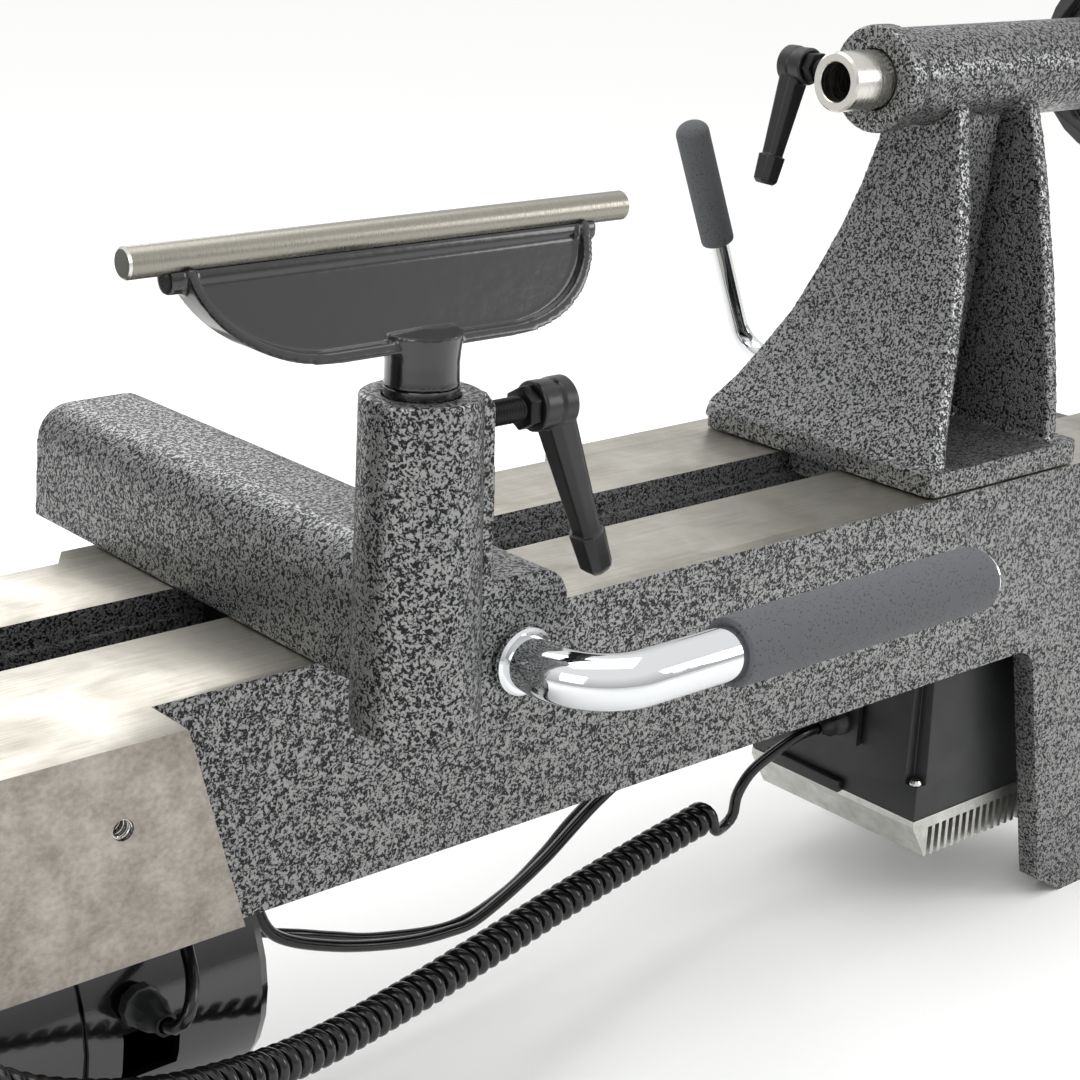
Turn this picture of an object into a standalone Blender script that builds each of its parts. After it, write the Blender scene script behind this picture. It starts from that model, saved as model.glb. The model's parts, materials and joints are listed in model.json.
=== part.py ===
"""Bench wood lathe with a cast-iron bed, variable-speed drive, banjo, tool rest and tailstock.

Every piece is modelled from the machine's datum: X runs along the bed from the parked tailstock's foot towards
the handwheel, Y runs back from the front edge of the front way, and Z rises from the ground top of the ways.
The datum itself is an empty that stands the machine on its feet with its overall box centred on the origin.
"""

import math

import bmesh
import bpy
from mathutils import Matrix, Vector

# The datum's place: tailstock foot, front edge of the bed, top of the ways.
DATUM = Vector((0.24225, -0.0426, 0.238))

GAP = 0.0003  # clearance between pieces that touch
FACETS = 24  # sides of a large round piece
SMALL_FACETS = 12

# Bed
BED_LEFT, BED_RIGHT = -0.645, 0.190
BED_MIDDLE = (BED_LEFT + BED_RIGHT) / 2
BED_WIDTH = 0.145
FRONT_WAY_WIDTH = 0.057
REAR_WAY_START = 0.095
WAY_THICKNESS = 0.013
LIP_BOTTOM = -0.020
WALL_BOTTOM = -0.0915
WALL_THICKNESS = 0.012
FLOOR = -DATUM.z
SLOT_Y = (FRONT_WAY_WIDTH + REAR_WAY_START) / 2
ARCH_HALF = 0.317  # from the bed's middle to a leg's inner edge, at the wall's bottom
PAD_PROUD = 0.023
PAD_RIGHT = -0.405
PAD_BOTTOM = -0.080

# Spindle line and drive
CENTRE_HEIGHT = 0.178
HEAD_RIGHT, HEAD_LEFT = -0.482, -0.735
BELT_BAY_RIGHT = -0.652
HEAD_FRONT, HEAD_BACK = 0.015, 0.137
HEAD_TOP = 0.236
SPINDLE_RADIUS = 0.015
MOTOR_Z = -0.138
MOTOR_RADIUS = 0.057
MOTOR_RIGHT, MOTOR_SEAM, MOTOR_LEFT = -0.343, -0.422, -0.560
PULLEY_RADII = (0.030, 0.038, 0.046)
PULLEY_STEP = 0.018
PULLEY_RIGHT = -0.660
BELT_THICKNESS = 0.004

# Banjo and tool rest
ARM_LEFT, ARM_RIGHT = -0.338, -0.279
ARM_FRONT, ARM_BACK = -0.070, 0.205
ARM_TOP = 0.047
CAM_X, CAM_Z, CAM_RADIUS = -0.302, 0.0165, 0.0097
HANDLE_Y = -0.107
POST_X, POST_Y, POST_TOP = -0.341, -0.062, 0.1145
STEM_RADIUS = 0.0125
REST_BAR_Y, REST_BAR_Z, REST_BAR_RADIUS = -0.045, 0.163, 0.005
REST_BAR_LENGTH = 0.196
POST_LOCK_X, LOCK_Z = -0.2900, 0.1028

# Tailstock
TAIL_LENGTH = 0.108
BARREL_RADIUS = 0.0225
FLANGE_RADIUS = 0.0245
BARREL_LEFT, BARREL_RIGHT = 0.023, 0.206
QUILL_RADIUS = 0.0135
QUILL_TIP = -0.002
TAIL_CAM_X, TAIL_CAM_Z = 0.062, 0.024
QUILL_LOCK_X, QUILL_LOCK_Y = 0.0315, 0.1265

# Control box under the bed and the hand-held remote control
BOX_LEFT, BOX_RIGHT = 0.036, 0.160
SINK_SLOPE, FIN_THICKNESS = 0.011, 0.0011
BOX_FRONT, BOX_BACK = 0.020, 0.131
SINK_BOTTOM, SINK_TOP, BOX_TOP = -0.200, -0.178, -0.098
REMOTE_X = -0.575
REMOTE_BOTTOM, REMOTE_TOP = 0.035, 0.140

AXIS_FRAMES = {
    "X": Matrix(((0, 0, 1), (1, 0, 0), (0, 1, 0))),
    "Y": Matrix(((1, 0, 0), (0, 0, -1), (0, 1, 0))),
    "Z": Matrix.Identity(3),
}


# ---------------------------------------------------------------------------------------------------------------
# Modelling tools
# ---------------------------------------------------------------------------------------------------------------


def clear_scene():
    for old in list(bpy.data.objects):
        bpy.data.objects.remove(old, do_unlink=True)


def as_mesh(source):
    """Replaces an object by the mesh that its modifiers or its curve make, welded, in datum coordinates."""
    bpy.context.view_layer.update()
    evaluated = source.evaluated_get(bpy.context.evaluated_depsgraph_get())
    mesh = bpy.data.meshes.new_from_object(evaluated)
    mesh.transform(source.matrix_world)
    bpy.data.objects.remove(source, do_unlink=True)
    work = bmesh.new()
    work.from_mesh(mesh)
    bmesh.ops.remove_doubles(work, verts=work.verts, dist=0.000002)
    bmesh.ops.dissolve_degenerate(work, edges=work.edges, dist=0.000002)
    bmesh.ops.recalc_face_normals(work, faces=work.faces)
    work.to_mesh(mesh)
    work.free()
    solid = bpy.data.objects.new("solid", mesh)
    bpy.context.scene.collection.objects.link(solid)
    return solid


def block(low, high):
    """A box between two corners."""
    mesh = bpy.data.meshes.new("block")
    work = bmesh.new()
    bmesh.ops.create_cube(work, size=1.0)
    size = Vector(high) - Vector(low)
    bmesh.ops.scale(work, vec=size, verts=work.verts)
    bmesh.ops.translate(work, vec=Vector(low) + size / 2, verts=work.verts)
    work.to_mesh(mesh)
    work.free()
    solid = bpy.data.objects.new("block", mesh)
    bpy.context.scene.collection.objects.link(solid)
    return solid


def rounded(corners, steps=4):
    """Outline points from (u, v, radius) corners, each rounded by an arc."""
    points = []
    for index, (u, v, radius) in enumerate(corners):
        here = Vector((u, v))
        if radius == 0:
            points.append(here)
            continue
        before = (Vector(corners[index - 1][:2]) - here).normalized()
        after = (Vector(corners[(index + 1) % len(corners)][:2]) - here).normalized()
        half = before.angle(after) / 2
        centre = here + (before + after).normalized() * radius / math.sin(half)
        start = here + before * radius / math.tan(half) - centre
        sweep = start.angle_signed(here + after * radius / math.tan(half) - centre)
        for step in range(steps + 1):
            turn = Matrix.Rotation(-sweep * step / steps, 2)
            points.append(centre + turn @ start)
    return points


def circle(u, v, radius, count=SMALL_FACETS):
    """Outline points of a circle."""
    angles = [2 * math.pi * (step + 0.5) / count for step in range(count)]
    return [Vector((u + radius * math.cos(a), v + radius * math.sin(a))) for a in angles]


def prism(loops, axis, start, end):
    """A flat outline with its holes, extruded along an axis: the outline is in (Y, Z), (X, Z) or (X, Y)."""
    curve = bpy.data.curves.new("outline", "CURVE")
    curve.dimensions = "2D"
    curve.fill_mode = "BOTH"
    curve.extrude = abs(end - start) / 2
    for loop in loops:
        spline = curve.splines.new("POLY")
        spline.points.add(len(loop) - 1)
        for point, place in zip(spline.points, loop):
            point.co = (place[0], place[1], 0, 1)
        spline.use_cyclic_u = True
    solid = bpy.data.objects.new("outline", curve)
    bpy.context.scene.collection.objects.link(solid)
    centre = Vector((0, 0, 0))
    centre["XYZ".index(axis)] = (start + end) / 2
    solid.matrix_world = Matrix.Translation(centre) @ AXIS_FRAMES[axis].to_4x4()
    return as_mesh(solid)


def turned(profile, axis, centre, steps=FACETS):
    """A profile of (radius, distance along the axis) turned about an axis through a point.

    A profile that starts and ends on the axis closes there; any other profile is a ring and closes on itself.
    """
    solid_bar = profile[0][0] == 0
    mesh = bpy.data.meshes.new("profile")
    edges = [(i, i + 1) for i in range(len(profile) - 1)]
    if not solid_bar:
        edges.append((len(profile) - 1, 0))
    mesh.from_pydata([(radius, 0, along) for radius, along in profile], edges, [])
    solid = bpy.data.objects.new("turned", mesh)
    bpy.context.scene.collection.objects.link(solid)
    screw = solid.modifiers.new("turn", "SCREW")
    screw.angle = 2 * math.pi
    screw.steps = steps
    screw.render_steps = steps
    screw.use_merge_vertices = True
    screw.merge_threshold = 0.00001
    offset = Vector(centre)
    offset["XYZ".index(axis)] = 0
    frame = AXIS_FRAMES[axis].to_4x4()
    if axis == "Y":
        frame = frame @ Matrix.Scale(-1, 4, (0, 0, 1))
    solid.matrix_world = Matrix.Translation(offset) @ frame
    return as_mesh(solid)


def rod(axis, centre, radius, start, end, steps=FACETS, chamfer=0.0):
    """A plain round bar along an axis, with chamfered ends."""
    low, high = min(start, end), max(start, end)
    if chamfer:
        profile = [(0, high), (radius - chamfer, high), (radius, high - chamfer)]
        profile += [(radius, low + chamfer), (radius - chamfer, low), (0, low)]
    else:
        profile = [(0, high), (radius, high), (radius, low), (0, low)]
    return turned(profile, axis, centre, steps)


def ring(axis, centre, inner, outer, start, end, steps=FACETS):
    """A plain tube along an axis."""
    low, high = min(start, end), max(start, end)
    return turned([(outer, high), (outer, low), (inner, low), (inner, high)], axis, centre, steps)


def loft(sections):
    """A body through closed sections with equal point counts, given in order."""
    mesh = bpy.data.meshes.new("loft")
    work = bmesh.new()
    rings = [[work.verts.new(point) for point in section] for section in sections]
    for lower, upper in zip(rings, rings[1:]):
        for index in range(len(lower)):
            after = (index + 1) % len(lower)
            work.faces.new((lower[index], lower[after], upper[after], upper[index]))
    work.faces.new(rings[0])
    work.faces.new(rings[-1])
    bmesh.ops.recalc_face_normals(work, faces=work.faces)
    work.to_mesh(mesh)
    work.free()
    solid = bpy.data.objects.new("loft", mesh)
    bpy.context.scene.collection.objects.link(solid)
    return solid


def bent_path(corners, radius, steps=6):
    """Points of a bar that runs through corners, each bent to a radius."""
    points = [Vector(corners[0])]
    for before, here, after in zip(corners, corners[1:], corners[2:]):
        here = Vector(here)
        back = (Vector(before) - here).normalized()
        ahead = (Vector(after) - here).normalized()
        half = back.angle(ahead) / 2
        centre = here + (back + ahead).normalized() * radius / math.sin(half)
        start = here + back * radius / math.tan(half) - centre
        end = here + ahead * radius / math.tan(half) - centre
        for step in range(steps + 1):
            points.append(centre + start.lerp(end, step / steps).normalized() * radius)
    points.append(Vector(corners[-1]))
    return points


def tube_curve(points, radius, resolution=2):
    """A curve object with a round section along points, its ends filled."""
    curve = bpy.data.curves.new("tube", "CURVE")
    curve.dimensions = "3D"
    curve.bevel_depth = radius
    curve.bevel_resolution = resolution
    curve.render_resolution_u = 0
    curve.use_fill_caps = True
    spline = curve.splines.new("POLY")
    spline.points.add(len(points) - 1)
    for point, place in zip(spline.points, points):
        point.co = (*place, 1)
    solid = bpy.data.objects.new("tube", curve)
    bpy.context.scene.collection.objects.link(solid)
    return solid


def smooth_route(knots, spacing):
    """Evenly read points of a smooth curve through hand-placed knots."""
    ends = [2 * knots[0] - knots[1], *knots, 2 * knots[-1] - knots[-2]]
    fine = []
    for a, b, c, d in zip(ends, ends[1:], ends[2:], ends[3:]):
        for step in range(24):
            t = step / 24
            fine.append(0.5 * (2 * b + (c - a) * t + (2 * a - 5 * b + 4 * c - d) * t**2 + (3 * b - a - 3 * c + d) * t**3))
    fine.append(knots[-1])
    length = sum((q - p).length for p, q in zip(fine, fine[1:]))
    count = max(2, round(length / spacing))
    route, walked, wanted = [fine[0]], 0.0, length / count
    for p, q in zip(fine, fine[1:]):
        step = (q - p).length
        while walked + step >= wanted - 1e-9 and len(route) < count:
            route.append(p.lerp(q, (wanted - walked) / step))
            wanted += length / count
        walked += step
    route.append(fine[-1])
    return route


def boolean(base, operation, others):
    """Joins others to a solid or cuts them from it, and removes them."""
    for other in others:
        modifier = base.modifiers.new(operation, "BOOLEAN")
        modifier.operation = operation
        modifier.object = other
    result = as_mesh(base)
    for other in others:
        bpy.data.objects.remove(other, do_unlink=True)
    return result


def join(base, *others):
    return boolean(base, "UNION", others)


def cut(base, *others):
    return boolean(base, "DIFFERENCE", others)


def shear_back(solid, from_z, slope):
    """Leans a solid back, by slope, above a height."""
    for vertex in solid.data.vertices:
        vertex.co.y += slope * (vertex.co.z - from_z)
    return solid


def along(centre, direction, distance):
    return Vector(centre) + Vector(direction) * distance


# ---------------------------------------------------------------------------------------------------------------
# Materials, bodies and pieces
# ---------------------------------------------------------------------------------------------------------------

FINISHES = {
    "hammered_paint": ((0.16, 0.165, 0.16), 0.35, 0.6),
    "ground_iron": ((0.55, 0.54, 0.50), 0.3, 1.0),
    "bright_steel": ((0.60, 0.59, 0.56), 0.25, 1.0),
    "satin_steel": ((0.30, 0.29, 0.26), 0.35, 1.0),
    "black_oxide": ((0.03, 0.03, 0.03), 0.45, 0.8),
    "black_enamel": ((0.01, 0.01, 0.01), 0.2, 0.0),
    "black_plastic": ((0.015, 0.015, 0.016), 0.4, 0.0),
    "chrome": ((0.80, 0.81, 0.82), 0.06, 1.0),
    "grey_foam": ((0.10, 0.10, 0.105), 0.85, 0.0),
    "gloss_black": ((0.012, 0.012, 0.013), 0.15, 0.0),
    "aluminium": ((0.70, 0.70, 0.69), 0.35, 1.0),
    "black_pvc": ((0.008, 0.008, 0.008), 0.2, 0.0),
    "belt_rubber": ((0.02, 0.02, 0.02), 0.8, 0.0),
    "red_plastic": ((0.55, 0.02, 0.02), 0.35, 0.0),
    "green_plastic": ((0.02, 0.30, 0.06), 0.35, 0.0),
    "display_window": ((0.02, 0.03, 0.03), 0.1, 0.0),
}

parts = None
bodies = {}
materials = {}


def make_materials():
    for name, (colour, roughness, metallic) in FINISHES.items():
        material = bpy.data.materials.new(name)
        material.use_nodes = True
        shader = material.node_tree.nodes["Principled BSDF"]
        shader.inputs["Base Color"].default_value = (*colour, 1)
        shader.inputs["Roughness"].default_value = roughness
        shader.inputs["Metallic"].default_value = metallic
        materials[name] = material


def body(name, pivot=(0, 0, 0), parent=None):
    """An empty on a joint's axis that carries the pieces of one rigid body."""
    empty = bpy.data.objects.new(name + "_pivot", None)
    parts.objects.link(empty)
    pivot = Vector(pivot)
    if parent is None:
        empty.location = DATUM
    else:
        empty.parent = bodies[parent][0]
        empty.location = pivot - bodies[parent][1]
    bodies[name] = (empty, pivot)


def piece(solid, name, body_name, finish):
    """Names a solid, gives it a finish and hangs it on its body, with its origin on the body's pivot."""
    empty, pivot = bodies[body_name]
    solid.name = name
    solid.data.name = name
    if solid.type == "MESH":
        solid.data.transform(Matrix.Translation(-pivot))
        solid.data.shade_smooth()
        solid.data.set_sharp_from_angle(angle=math.radians(35))
    else:
        solid.location = -pivot
    solid.data.materials.clear()
    solid.data.materials.append(materials[finish])
    for collection in list(solid.users_collection):
        collection.objects.unlink(solid)
    parts.objects.link(solid)
    solid.parent = empty


# ---------------------------------------------------------------------------------------------------------------
# Bed
# ---------------------------------------------------------------------------------------------------------------


def bed_side_outline():
    """The bed's side seen from the front: two splayed legs with an arch between them."""
    inner, fillet = ARCH_HALF, 0.014
    half = (BED_RIGHT - BED_LEFT) / 2
    right = [
        (half, 0.0, 0), (half + 0.003, -0.10, 0), (half + 0.008, -0.224, 0.004), (half, FLOOR, 0.003),
        (inner + 0.0475, FLOOR, 0), (inner + 0.0285, -0.2265, 0), (inner + 0.0265, -0.219, 0),
        (inner, WALL_BOTTOM, fillet),
    ]
    left = [(-u, v, r) for u, v, r in reversed(right)]
    return rounded([(BED_MIDDLE + u, v, r) for u, v, r in right + left])


def make_bed():
    side = bed_side_outline()
    bed = prism([side], "Y", 0, WALL_THICKNESS)
    back_wall = prism([side], "Y", BED_WIDTH - WALL_THICKNESS, BED_WIDTH)
    ways = [
        block((BED_LEFT, 0, -WAY_THICKNESS), (BED_RIGHT, FRONT_WAY_WIDTH, 0)),
        block((BED_LEFT, REAR_WAY_START, -WAY_THICKNESS), (BED_RIGHT, BED_WIDTH, 0)),
        block((BED_LEFT, FRONT_WAY_WIDTH - 0.008, LIP_BOTTOM), (BED_RIGHT, FRONT_WAY_WIDTH + 0.003, -0.011)),
        block((BED_LEFT, REAR_WAY_START - 0.003, LIP_BOTTOM), (BED_RIGHT, REAR_WAY_START + 0.008, -0.011)),
    ]
    end_walls = [
        block((BED_LEFT, 0.004, WALL_BOTTOM), (BED_LEFT + WALL_THICKNESS, BED_WIDTH - 0.004, -0.004)),
        block((BED_RIGHT - WALL_THICKNESS, 0.004, -0.125), (BED_RIGHT, BED_WIDTH - 0.004, -0.004)),
    ]
    ribs = [
        block((x, 0.004, WALL_BOTTOM + 0.001), (x + 0.012, BED_WIDTH - 0.004, -0.052))
        for x in (-0.600, -0.320, -0.130, 0.060, 0.140)
    ]
    feet = []
    for side_sign in (-1, 1):
        near, far = sorted((BED_MIDDLE + side_sign * 0.3795, BED_MIDDLE + side_sign * 0.4175))
        feet.append(block((near, 0.005, FLOOR + 0.0004), (far, 0.034, -0.222)))
        feet.append(block((near, BED_WIDTH - 0.034, FLOOR + 0.0004), (far, BED_WIDTH - 0.005, -0.222)))
    pad_slant = [
        Vector((BED_LEFT, 0.0)), Vector((BED_LEFT, PAD_BOTTOM)), Vector((PAD_RIGHT + 0.022, PAD_BOTTOM)),
        Vector((PAD_RIGHT + 0.008, -0.028)), Vector((PAD_RIGHT + 0.002, -0.006)), Vector((PAD_RIGHT, 0.0)),
    ]
    front_pad = prism([pad_slant], "Y", -PAD_PROUD, 0.006)
    rear_pads = []
    for start, end in ((-0.352, -0.175), (-0.095, 0.110)):
        wing = [
            Vector((start - 0.012, BED_WIDTH - 0.006)), Vector((start, BED_WIDTH + 0.012)),
            Vector((end, BED_WIDTH + 0.012)), Vector((end + 0.012, BED_WIDTH - 0.006)),
        ]
        rear_pads.append(prism([wing], "Z", -0.045, 0.0))
    bed = join(bed, back_wall, *ways, *end_walls, *ribs, *feet, front_pad, *rear_pads)
    tapped = [
        rod("Y", (x, 0, z), 0.0040, -PAD_PROUD - 0.01, -PAD_PROUD + 0.018, 12)
        for x, z in ((-0.430, -0.0295), (-0.530, -0.0295), (-0.620, -0.0295))
    ]
    bolt_holes = [
        rod("Z", (BED_MIDDLE + sign * 0.3985, y, 0), 0.0055, FLOOR - 0.01, -0.215, 12)
        for sign in (-1, 1) for y in (0.023, BED_WIDTH - 0.023)
    ]
    bed = cut(bed, *tapped, *bolt_holes)
    piece(bed, "bed_casting", "bed", "hammered_paint")


# ---------------------------------------------------------------------------------------------------------------
# Headstock and drive
# ---------------------------------------------------------------------------------------------------------------


def head_section(inset, bottom, radius):
    """The headstock's section, drawn in by a wall thickness."""
    return rounded([
        (HEAD_FRONT + inset, bottom, 0), (HEAD_BACK - inset, bottom, 0),
        (HEAD_BACK - inset, HEAD_TOP - inset, radius), (HEAD_FRONT + inset, HEAD_TOP - inset, radius),
    ])


def make_headstock():
    spindle_axis = (0, SLOT_Y, CENTRE_HEIGHT)
    head = prism([head_section(0, GAP, 0.035)], "X", HEAD_LEFT, HEAD_RIGHT)
    flange = block((BED_LEFT + 0.002, 0.003, GAP), (HEAD_RIGHT, 0.142, 0.014))
    nose_boss = turned(
        [(0, HEAD_RIGHT - 0.006), (0.046, HEAD_RIGHT - 0.006), (0.043, HEAD_RIGHT + 0.002), (0, HEAD_RIGHT + 0.002)],
        "X", spindle_axis)
    ears = []
    for low, high in ((0.0415, 0.0495), (0.1885, 0.1965)):
        ears.append(block((-0.7325, 0.0085, low), (-0.7255, 0.020, high)))
        ears.append(rod("Z", (-0.7290, 0.0085, 0), 0.004, low, high, SMALL_FACETS))
    head = join(head, flange, nose_boss, *ears)
    gear_bay = prism([head_section(0.010, 0.018, 0.028)], "X", -0.640, -0.500)
    gear_bay_floor = block((-0.630, 0.050, -0.01), (-0.510, 0.102, 0.020))
    belt_bay = prism([head_section(0.008, -0.01, 0.028)], "X", HEAD_LEFT + 0.008, BELT_BAY_RIGHT)
    door_opening = block((-0.7215, -0.01, 0.058), (-0.6585, 0.030, 0.180))
    bores = [
        rod("X", spindle_axis, 0.0310, -0.502, HEAD_RIGHT + 0.01),
        rod("X", spindle_axis, 0.0310, BELT_BAY_RIGHT - 0.01, -0.638),
        rod("X", spindle_axis, 0.0190, HEAD_LEFT - 0.01, HEAD_LEFT + 0.02),
        rod("Y", (-0.628, 0, CENTRE_HEIGHT), 0.0042, 0, 0.03, 12),
        rod("Z", (-0.7290, 0.0085, 0), 0.0023, 0.03, 0.21, 12),
    ]
    head = cut(head, gear_bay, gear_bay_floor, belt_bay, door_opening, *bores)
    piece(head, "headstock_casting", "bed", "hammered_paint")
    for name, start in (("front_spindle_bearing", -0.4985), ("rear_spindle_bearing", -0.6515)):
        race = ring("X", spindle_axis, SPINDLE_RADIUS + GAP, 0.0307, start, start + 0.012)
        piece(race, name, "bed", "bright_steel")


def make_belt_door():
    panel = block((-0.7245, 0.0085, 0.0505), (-0.6550, HEAD_FRONT - GAP, 0.1875))
    barrel = rod("Z", (-0.7290, 0.0085, 0), 0.004, 0.0500, 0.1880, SMALL_FACETS)
    strap = block((-0.7285, 0.0070, 0.0510), (-0.7200, 0.0118, 0.1870))
    latch = rod("Y", (-0.664, 0, 0.119), 0.0085, -0.004, 0.010, SMALL_FACETS, 0.001)
    door = join(panel, barrel, strap, latch)
    door = cut(door, rod("Z", (-0.7290, 0.0085, 0), 0.0023, 0.03, 0.21, 12))
    piece(door, "belt_door", "belt_door", "hammered_paint")
    piece(rod("Z", (-0.7290, 0.0085, 0), 0.0020, 0.0400, 0.1980, 12), "door_hinge_pin", "bed", "bright_steel")


def make_spindle():
    nose = HEAD_RIGHT + 0.0025
    profile = [
        (0.00889, nose + 0.042), (0.0165, nose + 0.042), (0.0165, nose + 0.012), (0.0250, nose + 0.012),
        (0.0250, nose), (SPINDLE_RADIUS, nose), (SPINDLE_RADIUS, -0.7650), (0.0050, -0.7650),
        (0.0050, nose - 0.022), (0.0072, nose - 0.022),
    ]
    spindle = turned(profile, "X", (0, SLOT_Y, CENTRE_HEIGHT))
    piece(spindle, "spindle", "spindle", "bright_steel")


def stepped_pulley(radii, bore, centre):
    """A three-step belt pulley, its first radius nearest the bed."""
    profile = [(bore, PULLEY_RIGHT)]
    for index, radius in enumerate(radii):
        right = PULLEY_RIGHT - index * PULLEY_STEP
        profile += [(radius + 0.002, right), (radius, right - 0.002), (radius, right - PULLEY_STEP)]
    profile.append((bore, PULLEY_RIGHT - 3 * PULLEY_STEP))
    return turned(profile, "X", centre, 24)


def make_drive():
    spindle_axis = Vector((0, SLOT_Y, CENTRE_HEIGHT))
    motor_axis = Vector((0, SLOT_Y, MOTOR_Z))
    piece(stepped_pulley(PULLEY_RADII, SPINDLE_RADIUS + GAP, spindle_axis), "spindle_pulley", "spindle", "aluminium")
    piece(stepped_pulley(PULLEY_RADII[::-1], 0.0095 + GAP, motor_axis), "motor_pulley", "motor_rotor", "aluminium")
    shaft = rod("X", motor_axis, 0.0095, PULLEY_RIGHT - 3 * PULLEY_STEP - 0.004, MOTOR_LEFT - GAP, SMALL_FACETS, 0.001)
    piece(shaft, "motor_shaft", "motor_rotor", "bright_steel")

    inner = PULLEY_RADII[1] + GAP
    loops = []
    for radius in (inner + BELT_THICKNESS, inner):
        top = [math.pi * step / 14 for step in range(15)]
        loop = [Vector((SLOT_Y + radius * math.cos(a), CENTRE_HEIGHT + radius * math.sin(a))) for a in top]
        loop += [Vector((SLOT_Y - radius * math.cos(a), MOTOR_Z - radius * math.sin(a))) for a in top]
        loops.append(loop)
    middle = PULLEY_RIGHT - 1.5 * PULLEY_STEP
    piece(prism(loops, "X", middle - 0.0065, middle + 0.0055), "drive_belt", "bed", "belt_rubber")

    index_ring = ring("X", spindle_axis, SPINDLE_RADIUS + GAP, 0.044, -0.6335, -0.6225, 24)
    holes = []
    for step in range(12):
        hole = rod("Z", (0, 0, 0), 0.0042, 0.034, 0.050, 8)
        turn = Matrix.Rotation(2 * math.pi * step / 12, 4, "X")
        hole.data.transform(Matrix.Translation(spindle_axis + Vector((-0.628, 0, 0))) @ turn @ Matrix.Rotation(0.3, 4, "Z"))
        holes.append(hole)
    piece(cut(index_ring, *holes), "index_ring", "spindle", "bright_steel")

    pin_profile = [
        (0, -0.020), (0.0080, -0.020), (0.0085, -0.010), (0.0085, -0.004), (0.0034, -0.004),
        (0.0034, 0.0305), (0, 0.0305),
    ]
    pin = turned(pin_profile, "Y", (-0.628, 0, CENTRE_HEIGHT), SMALL_FACETS)
    piece(pin, "index_pin", "index_pin", "black_oxide")

    wheel_profile = [
        (SPINDLE_RADIUS + GAP, -0.7375), (0.0240, -0.7375), (0.0260, -0.7460), (0.0500, -0.7480),
        (0.0520, -0.7400), (0.0600, -0.7395), (0.0630, -0.7460), (0.0630, -0.7560), (0.0590, -0.7630),
        (0.0520, -0.7630), (0.0490, -0.7540), (0.0270, -0.7550), (0.0240, -0.7660), (SPINDLE_RADIUS + GAP, -0.7660),
    ]
    piece(turned(wheel_profile, "X", spindle_axis, 28), "spindle_handwheel", "spindle", "black_enamel")


def make_motor():
    axis = (0, SLOT_Y, MOTOR_Z)
    radius = MOTOR_RADIUS
    shell = turned([
        (0, MOTOR_SEAM - GAP), (radius - 0.002, MOTOR_SEAM - GAP), (radius - 0.002, MOTOR_LEFT + 0.020),
        (radius - 0.008, MOTOR_LEFT + 0.008), (0.030, MOTOR_LEFT + 0.004), (0.026, MOTOR_LEFT), (0, MOTOR_LEFT),
    ], "X", axis, 28)
    piece(shell, "motor_body", "bed", "gloss_black")
    cowl = turned([
        (0, MOTOR_RIGHT), (radius - 0.005, MOTOR_RIGHT), (radius - 0.0015, MOTOR_RIGHT - 0.0015),
        (radius, MOTOR_RIGHT - 0.005), (radius, MOTOR_SEAM), (radius - 0.004, MOTOR_SEAM),
        (radius - 0.004, MOTOR_RIGHT - 0.012), (0, MOTOR_RIGHT - 0.012),
    ], "X", axis, 28)
    entry = ring("X", (0, 0.104, -0.160), 0.0026, 0.0075, MOTOR_RIGHT - 0.002, MOTOR_RIGHT + 0.017, 12)
    vents = [
        block((MOTOR_RIGHT - 0.02, SLOT_Y - half, MOTOR_Z + height - 0.0025),
              (MOTOR_RIGHT + 0.01, SLOT_Y + half, MOTOR_Z + height + 0.0025))
        for height, half in ((-0.036, 0.018), (-0.026, 0.028), (0.012, 0.034), (0.024, 0.028), (0.036, 0.018))
    ]
    window = block((-0.408, SLOT_Y - radius - 0.01, MOTOR_Z - 0.018), (-0.384, SLOT_Y - 0.030, MOTOR_Z + 0.003))
    cowl = cut(cowl, window, *vents)
    piece(join(cowl, entry), "motor_fan_cowl", "bed", "gloss_black")
    plate = block(
        (-0.540, WALL_THICKNESS + GAP, WALL_BOTTOM + 0.0015), (-0.450, BED_WIDTH - WALL_THICKNESS - GAP, -0.0745))
    bracket = cut(plate, rod("X", axis, radius - 0.002 + 2 * GAP, -0.56, -0.43, 28))
    piece(bracket, "motor_bracket", "bed", "black_oxide")


def gland(base, direction_axis, sign, bore, size=1.0):
    """A cable gland: hexagon, cap and rubber neck, standing off a face along an axis."""
    index = "XYZ".index(direction_axis)
    at = base[index]
    heights = [(0.0075, 0), (0.0075, 0.004), (0.0064, 0.0045), (0.0064, 0.010), (0.0042, 0.014), (0.0042, 0.018)]
    outline = [(r * size, at + sign * h * size) for r, h in heights]
    profile = outline + [(bore, outline[-1][1]), (bore, at)]
    return turned(profile, direction_axis, base, 10)


def make_belt_guard():
    outline = rounded([(0.020, -0.2, 0.030), (0.132, -0.2, 0.030), (0.132, -GAP, 0), (0.020, -GAP, 0)])
    inner = rounded([(0.022, -0.198, 0.028), (0.130, -0.198, 0.028), (0.130, 0.01, 0), (0.022, 0.01, 0)])
    guard = prism([outline], "X", HEAD_LEFT, BELT_BAY_RIGHT + 0.001)
    inside = prism([inner], "X", HEAD_LEFT + 0.002, BELT_BAY_RIGHT - 0.001)
    shaft_hole = rod("X", (0, SLOT_Y, MOTOR_Z), 0.016, -0.66, -0.64, SMALL_FACETS)
    piece(cut(guard, inside, shaft_hole), "lower_belt_guard", "bed", "hammered_paint")


# ---------------------------------------------------------------------------------------------------------------
# Banjo and tool rest
# ---------------------------------------------------------------------------------------------------------------


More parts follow.
